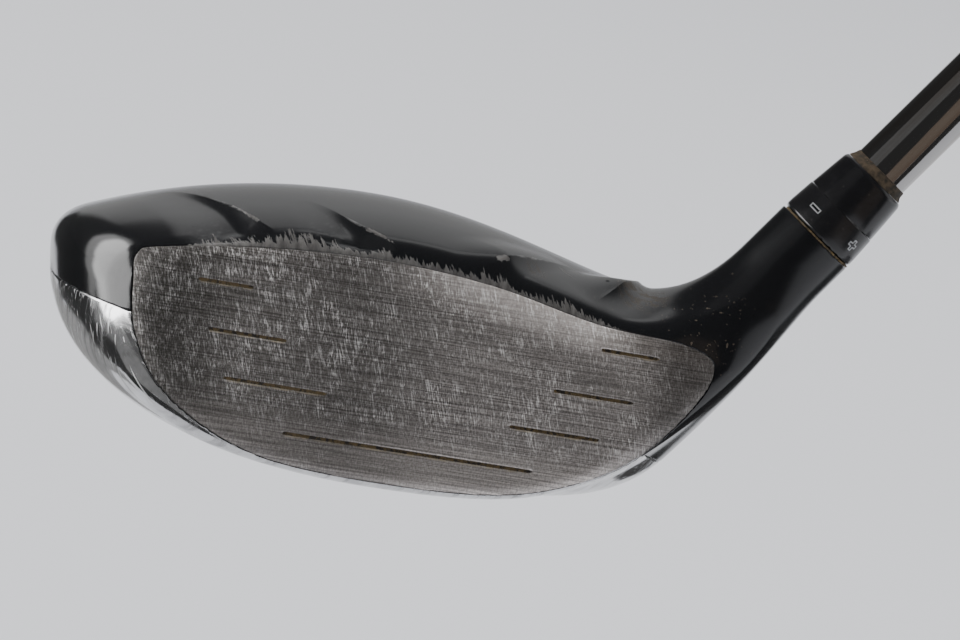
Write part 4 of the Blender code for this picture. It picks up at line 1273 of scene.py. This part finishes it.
def turned_steel(name, colour, roughness, pitch=0.35, ground=HOSEL_GROUND, axis=HOSEL_AXIS):
    """Machined metal with fine turning rings and a little staining."""
    look = Look(name, metallic=1.0)
    rings = look.math("SINE", look.times(look.along(axis, ground), 2 * math.pi / pitch))
    stain = look.noise(look.place, 0.6, 4.0, 0.6)
    dark = tuple(channel * 0.55 for channel in colour)
    look.set("Base Color", look.mix(look.range(stain, 0.35, 0.7), colour, dark))
    look.set("Roughness", look.range(stain, 0.3, 0.7, roughness, roughness + 0.15))
    look.set("Normal", look.bump(rings, 0.2, 0.01))
    return look.material


def satin_black(name, colour, roughness, grain=7.0):
    """Black anodised or moulded finish: a fine grain, faint dust and a few specks."""
    look = Look(name)
    fine = look.noise(look.place, grain, 3.0, 0.6)
    dust = look.noise(look.place, 0.7, 4.0, 0.65)
    specks = look.range(look.noise(look.place, 2.6, 1.0, 0.5), 0.76, 0.79)
    base = look.mix(look.range(dust, 0.5, 0.8), colour, tuple(channel * 1.5 for channel in colour))
    look.set("Base Color", look.mix(look.times(specks, 0.35), base, (0.16, 0.14, 0.11)))
    look.set("Roughness", look.range(dust, 0.3, 0.75, roughness, roughness + 0.06))
    look.set("Normal", look.bump(fine, 0.25, 0.012))
    return look.material


def old_epoxy():
    """Brown glue and grime, mottled and crumbly."""
    look = Look("old_epoxy_look", 0.75)
    mottle = look.noise(look.place, 1.3, 5.0, 0.65)
    grit = look.noise(look.place, 5.0, 4.0, 0.7)
    base = look.mix(look.range(mottle, 0.35, 0.65), (0.014, 0.011, 0.007), (0.068, 0.047, 0.026))
    look.set("Base Color", look.mix(look.range(grit, 0.62, 0.72), base, (0.20, 0.15, 0.085)))
    look.set("Normal", look.bump(grit, 0.8, 0.12))
    return look.material


def mouth_dirt():
    """Ochre dirt, coarse and crumbly."""
    look = Look("mouth_dirt_look", 0.7)
    grit = look.noise(look.place, 3.4, 4.0, 0.7)
    look.set("Base Color", look.mix(look.range(grit, 0.4, 0.62), (0.018, 0.013, 0.006),
                                    (0.17, 0.115, 0.045)))
    look.set("Normal", look.bump(grit, 0.8, 0.1))
    return look.material


def shaft_chrome():
    """Mirror chrome with faint drawn lines along the tube and brown patches round it, a painted
    reflection.
    """
    look = Look("shaft_chrome_look", metallic=1.0)
    front, side = axes_about(HOSEL_AXIS)
    round_about = look.math("ARCTAN2", look.along(side, HOSEL_GROUND), look.along(front, HOSEL_GROUND))
    height = look.along(HOSEL_AXIS, HOSEL_GROUND)
    # Painted reflection: brown patches round and along the tube stand in for the shaft's brown
    # reflection.
    film = look.noise(look.join(look.times(round_about, 2.4), look.times(height, 0.02), 0.0),
                      1.0, 3.0, 0.6)
    drawn = look.noise(look.join(look.times(round_about, 26.0), look.times(height, 0.03), 0.0),
                       1.0, 2.0, 0.5)
    # Painted reflection: the chrome's colour is tinted brown over these patches.
    brown_reflection = look.times(look.range(film, 0.45, 0.65), 0.45)
    look.set("Base Color", look.mix(brown_reflection, (0.35, 0.345, 0.34), (0.23, 0.185, 0.15)))
    look.set("Roughness", look.range(drawn, 0.3, 0.75, 0.05, 0.14))
    look.set("Normal", look.bump(drawn, 0.1, 0.006))
    return look.material


def band_film():
    """Dark film with two plain pale rings near its ends."""
    look = Look("band_film_look", 0.32)
    centre = HOSEL_GROUND + HOSEL_AXIS * (BAND_LOW + BAND_LENGTH / 2)
    away = look.math("ABSOLUTE", look.along(HOSEL_AXIS, centre))
    ring = look.times(look.range(away, 8.4, 8.6), look.range(away, 9.8, 9.6))
    grain = look.noise(look.place, 3.0, 3.0, 0.6)
    look.set("Base Color", look.mix(ring, look.mix(grain, (0.012, 0.012, 0.014), (0.03, 0.03, 0.034)),
                                    (0.45, 0.45, 0.46)))
    look.set("Normal", look.bump(grain, 0.15, 0.01))
    return look.material


def grip_rubber():
    """Matt moulded rubber, greyed with dust in its grain."""
    look = Look("grip_rubber_look")
    grain = look.noise(look.place, 3.2, 4.0, 0.65)
    dust = look.noise(look.place, 0.09, 4.0, 0.6)
    base = look.mix(look.range(dust, 0.4, 0.7), (0.014, 0.014, 0.0145), (0.034, 0.033, 0.031))
    look.set("Base Color", look.mix(look.range(grain, 0.62, 0.75), base, (0.07, 0.068, 0.064)))
    look.set("Roughness", look.range(grain, 0.3, 0.7, 0.62, 0.85))
    look.set("Normal", look.bump(grain, 0.5, 0.09))
    return look.material


def plain_stuff(name, dark, pale, roughness, scale, metallic=0.0, depth=0.05):
    """A mottled finish for the pieces that stay inside."""
    look = Look(name, roughness, metallic)
    mottle = look.noise(look.place, scale, 4.0, 0.6)
    look.set("Base Color", look.mix(look.range(mottle, 0.3, 0.7), dark, pale))
    look.set("Normal", look.bump(mottle, 0.4, depth))
    return look.material


def dress_inner_nodes():
    """Better materials for the CAD nodes that stay."""
    steel = turned_steel("inner_steel_look", (0.42, 0.42, 0.43), 0.32)
    looks = {
        "back_weight": plain_stuff("tungsten_look", (0.22, 0.22, 0.23), (0.36, 0.36, 0.37), 0.45, 0.8,
                                   1.0),
        "glue_pad": plain_stuff("hot_melt_look", (0.42, 0.30, 0.13), (0.62, 0.50, 0.28), 0.4, 0.5),
        "hosel_liner": turned_steel("liner_look", (0.62, 0.62, 0.64), 0.35),
        "screw_washer": steel,
        "screw_retainer": steel,
        "weight_washer": plain_stuff("seal_rubber_look", (0.02, 0.02, 0.02), (0.04, 0.04, 0.04), 0.7,
                                     1.5),
        "tip_plug": turned_steel("brass_look", (0.62, 0.45, 0.18), 0.3),
        "grip_tape": plain_stuff("paper_tape_look", (0.52, 0.46, 0.36), (0.72, 0.67, 0.56), 0.85, 0.9),
    }
    for name, material in looks.items():
        for place in frame["nodes"][name].material_slots:
            place.material = material


# --- Stage --------------------------------------------------------------------------------------------
FLOOR_HEIGHT, FLOOR_RADIUS = -0.35, 40.0
ACROSS = [(-0.12, 0.0), (-0.03, 1.0)]             # where a pale wall starts, from the toe side
BEHIND = [(0.15, 0.0), (0.5, 1.0)]                # and from front to back
WALL = [(-0.3, 0.34), (0.1, 0.40), (0.60, 0.70), (0.69, 0.66), (0.81, 0.22)]   # level against height
DIM = 0.055
TOE, HEEL = Vector((-0.045, -0.008, 0.012)), Vector((0.037, -0.014, 0.014))
SHAFT = Vector((0.073, -0.003, 0.073))


def make_floor():
    """A wide pale sheet below the club."""
    shape = bmesh.new()
    bmesh.ops.create_circle(shape, cap_ends=True, segments=128, radius=FLOOR_RADIUS)
    bmesh.ops.translate(shape, verts=shape.verts, vec=(0, 0, FLOOR_HEIGHT))
    mesh = bpy.data.meshes.new("floor")
    shape.to_mesh(mesh)
    shape.free()
    floor = bpy.data.objects.new("floor", mesh)
    bpy.context.scene.collection.objects.link(floor)
    look = Look("floor_look", 0.9)
    look.set("Base Color", look.mix(look.noise(look.place, 0.0006, 2.0, 0.5), (0.735, 0.745, 0.785),
                                    (0.795, 0.805, 0.845)))
    away = look.vector("LENGTH", look.place, (0, 0, 0))
    look.set("Alpha", look.range(away, 3500.0, 12000.0, 1.0, 0.0))
    mesh.materials.append(look.material)
    floor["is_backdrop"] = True


def make_world():
    """Soft studio surroundings: a pale wall behind, dim in front and overhead; plain for the camera."""
    world = bpy.data.worlds.new("studio")
    bpy.context.scene.world = world
    world.use_nodes = True
    nodes, links = world.node_tree.nodes, world.node_tree.links

    def step_of(source, points):
        """A smooth number that follows (position, level) points along one axis of the direction."""
        ramp = nodes.new("ShaderNodeValToRGB")
        shift = nodes.new("ShaderNodeMapRange")
        shift.inputs["From Min"].default_value = -1.0
        links.new(source, shift.inputs["Value"])
        links.new(shift.outputs[0], ramp.inputs[0])
        ramp.color_ramp.interpolation = "EASE"
        stops = ramp.color_ramp.elements
        for _ in points[2:]:
            stops.new(0.5)
        for stop, (position, level) in zip(stops, points):
            stop.position, stop.color = (position + 1) / 2, (level, level, level, 1.0)
        return ramp.outputs["Color"]

    direction = nodes.new("ShaderNodeSeparateXYZ")
    links.new(nodes.new("ShaderNodeTexCoord").outputs["Generated"], direction.inputs[0])
    span = nodes.new("ShaderNodeMath")
    span.operation = "MULTIPLY"
    links.new(step_of(direction.outputs["X"], ACROSS), span.inputs[0])
    links.new(step_of(direction.outputs["Y"], BEHIND), span.inputs[1])
    wall = nodes.new("ShaderNodeMath")
    wall.operation = "MULTIPLY_ADD"
    links.new(span.outputs[0], wall.inputs[0])
    links.new(step_of(direction.outputs["Z"], WALL), wall.inputs[1])
    wall.inputs[2].default_value = DIM
    seen = nodes.new("ShaderNodeMix")
    seen.data_type = "RGBA"
    links.new(nodes.new("ShaderNodeLightPath").outputs["Is Camera Ray"], seen.inputs[0])
    links.new(wall.outputs[0], seen.inputs[6])
    seen.inputs[7].default_value = (1.05, 1.06, 1.10, 1.0)
    links.new(seen.outputs[2], nodes["Background"].inputs["Color"])


def facing(azimuth, elevation):
    """Direction outwards at an azimuth and elevation; azimuth 0 is in front, 90 on the heel side."""
    turn, lift = math.radians(azimuth), math.radians(elevation)
    return Vector((math.sin(turn) * math.cos(lift), -math.cos(turn) * math.cos(lift), math.sin(lift)))


def make_light(name, centre, azimuth, elevation, distance, size, power):
    """A soft rectangular light that faces a place."""
    light = bpy.data.lights.new(name, "AREA")
    light.shape = "RECTANGLE"
    light.size, light.size_y = size
    light.energy = power
    item = bpy.data.objects.new(name, light)
    bpy.context.scene.collection.objects.link(item)
    outwards = facing(azimuth, elevation)
    item.location = centre + outwards * distance
    item.rotation_mode = "QUATERNION"
    item.rotation_quaternion = outwards.to_track_quat("Z", "Y")
    item.visible_camera = False
    return item


def ribbon(centre, distance, places):
    """Two rows of points round a centre, from (azimuth, lowest, highest elevation) places."""
    return [[centre + facing(azimuth, (low, high)[row]) * distance for azimuth, low, high in places]
            for row in (0, 1)]


def make_card(name, rows, level):
    """A card between two rows of points that only shows in reflections, at a level or a colour."""
    count = len(rows[0])
    mesh = bpy.data.meshes.new(name)
    mesh.from_pydata(rows[0] + rows[1], [],
                     [(i, i + 1, count + i + 1, count + i) for i in range(count - 1)])
    card = bpy.data.objects.new(name, mesh)
    bpy.context.scene.collection.objects.link(card)
    look = Look(name + "_look", 0.9)
    cloth = look.noise(look.place, 0.05, 2.0, 0.5)
    look.set("Base Color", (0.01, 0.01, 0.01))
    glow = level * np.ones(3)
    dim, bright = (tuple(share * glow) for share in (0.9, 1.1))
    look.set("Emission Color", look.mix(cloth, dim, bright))
    look.set("Emission Strength", 1.0)
    mesh.materials.append(look.material)
    card.visible_camera = card.visible_diffuse = card.visible_shadow = False
    card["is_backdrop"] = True


# Cards round the toe, the heel and the shaft: name, centre, distance, level or colour, and the card's
# (azimuth, lowest elevation, highest elevation) from one end to the other.
CARDS = [
    ("toe_box", TOE, 0.12, 8.0, [
        (-154, 39, 43), (-146, 30, 47), (-136, 22, 50), (-127, 12, 52), (-121, -12, 53), (-115, -22, 54),
        (-109, -25, 55), (-95, -22, 55), (-78, -17, 52), (-64, -10, 48), (-53, -3, 43), (-43, 1, 39),
        (-34, 10, 32)]),
    ("toe_fade", TOE, 0.125, 1.8, [
        (-160, 33, 43), (-153, 23, 47), (-143, 15, 47), (-134, 4, 32), (-128, -18, 12),
        (-122, -22, -10)]),
    ("toe_dark", TOE, 0.3, 0.03, [
        (-178, -6, 2), (-174, -13, 3), (-169, -19, 3), (-160, -21, 3), (-152, -23, 3), (-146, -25, 3),
        (-140, -26, 3), (-134, -29, 3), (-128, -32, -16), (-122, -35, -26), (-113, -39, -30),
        (-104, -45, -33), (-90, -50, -37), (-74, -51, -37), (-51, -50, -36), (-28, -44, -30),
        (-10, -46, -30)]),
    ("toe_grey", TOE, 0.3, 0.28, [
        (-126, -26, -18), (-120, -28, -18), (-113, -30, -18), (-104, -33, -18), (-90, -37, -16),
        (-74, -37, -12), (-51, -36, -12), (-40, -33, -12), (-28, -30, -12), (-10, -30, -12)]),
    ("toe_front", TOE, 0.3, 0.12, [(-62, -12, 2), (-40, -12, 2), (-20, -12, 2), (-8, -12, 2)]),
    ("toe_back", TOE, 0.3, 0.42, [
        (-180, -45, -15), (-165, -47, -20), (-152, -47, -23), (-140, -45, -26), (-134, -44, -29),
        (-127, -46, -32), (-120, -52, -36), (-113, -56, -39)]),
    ("heel_dark", HEEL, 0.12, 0.06, [(92, -46, -13), (116, -50, -12), (138, -44, -14)]),
    ("shaft_grey", SHAFT, 0.15, 0.17, [(-92, 12, 60), (-70, 12, 58), (-49, 6, 54)]),
    ("shaft_brown", SHAFT, 0.06, (0.24, 0.1872, 0.1488), [(-14, -24, 30), (6, -38, 20), (21, -48, 10)]),
    ("shaft_dark", SHAFT, 0.06, 0.03, [(21, -50, 10), (33, -56, 5), (42, -60, 0)]),
]
CEILING = [[Vector((0.0, y, 0.63)), Vector((0.40, y, 0.63))] for y in (0.28, 0.42)]
CEILING_LEVEL = 1.4


def make_lights():
    overhead = make_light("overhead", Vector((0.15, 0.7, 0.0)), 0.0, 90.0, 2.2, (2.4, 2.4), 60.0)
    room = make_light("room", Vector((0.0, 0.0, 0.0)), 0.0, 90.0, 5.0, (18.0, 18.0), 900.0)
    overhead.visible_glossy = room.visible_glossy = False
    make_light("heel_box", Vector((0.02, 0.0, 0.02)), 82.0, 12.0, 0.6, (0.35, 0.5), 0.5)
    for name, centre, distance, level, places in CARDS:
        make_card(name, ribbon(centre, distance, places), level)
    make_card("ceiling", CEILING, CEILING_LEVEL)


# --- Camera -------------------------------------------------------------------------------------------
CAMERA_TURN, CAMERA_LIFT, CAMERA_ROLL = (math.radians(angle) for angle in (-15.0, 15.4, 13.5))
CAMERA_DISTANCE = 0.6
CAMERA_AIM = Vector((0.0, -0.017, 0.017))
CAMERA_SHIFT = Vector((-0.0074830, -0.0078912))   # where the aim sits in the picture, at its own distance
CAMERA_LENS, CAMERA_SENSOR = 165.4, 36.0


def make_camera():
    back = Vector((math.sin(CAMERA_TURN) * math.cos(CAMERA_LIFT),
                   -math.cos(CAMERA_TURN) * math.cos(CAMERA_LIFT), math.sin(CAMERA_LIFT)))
    level = Vector((math.cos(CAMERA_TURN), math.sin(CAMERA_TURN), 0.0))
    rise = back.cross(level)
    right = math.cos(CAMERA_ROLL) * level + math.sin(CAMERA_ROLL) * rise
    up = math.cos(CAMERA_ROLL) * rise - math.sin(CAMERA_ROLL) * level
    data = bpy.data.cameras.new("camera")
    data.lens, data.sensor_width = CAMERA_LENS, CAMERA_SENSOR
    camera = bpy.data.objects.new("camera", data)
    bpy.context.scene.collection.objects.link(camera)
    place = CAMERA_AIM + back * CAMERA_DISTANCE - right * CAMERA_SHIFT.x - up * CAMERA_SHIFT.y
    camera.matrix_world = Matrix.Translation(place) @ Matrix((right, up, back)).transposed().to_4x4()
    bpy.context.scene.camera = camera


def save_sizes():
    boxes = {"cad": CAD_BOX, "visual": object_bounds()}
    {name: [list(corner) for corner in box] for name, box in boxes.items()}


def make_scene():
    make_camera()
    points, tris = head_net()
    paint = black_paint()
    make_upper_skin(points, tris, paint)
    make_sole_skin(points, tris, polished_steel())
    make_face_skin(brushed_face())
    make_hosel_core(satin_black("recess_look", (0.012, 0.012, 0.013), 0.35))
    make_mouth_dirt(mouth_dirt())
    make_sleeve(satin_black("sleeve_look", (0.0095, 0.0095, 0.0105), 0.2))
    make_ferrule(satin_black("ferrule_look", (0.008, 0.008, 0.009), 0.17))
    make_bead(old_epoxy())
    make_shaft(shaft_chrome())
    make_band(band_film())
    rubber = grip_rubber()
    make_grip(rubber)
    make_grip_cap(rubber)
    make_hosel_screw(turned_steel("hosel_screw_look", (0.38, 0.38, 0.39), 0.3))
    weight_line = WEIGHT_PLACE, WEIGHT_AXIS
    make_sole_weight(turned_steel("port_look", (0.50, 0.50, 0.51), 0.22, 0.4, *weight_line),
                     turned_steel("weight_look", (0.42, 0.42, 0.43), 0.28, 0.5, *weight_line))
    ink = plain_stuff("mark_ink_look", (0.30, 0.31, 0.32), (0.42, 0.43, 0.44), 0.5, 4.0, depth=0.01)
    make_mark("sleeve_minus", MINUS, MINUS_ANGLE, ink)
    make_mark("sleeve_plus", PLUS, PLUS_ANGLE, ink)
    dress_inner_nodes()
    make_floor()
    make_world()
    make_lights()
    save_sizes()


make_scene()
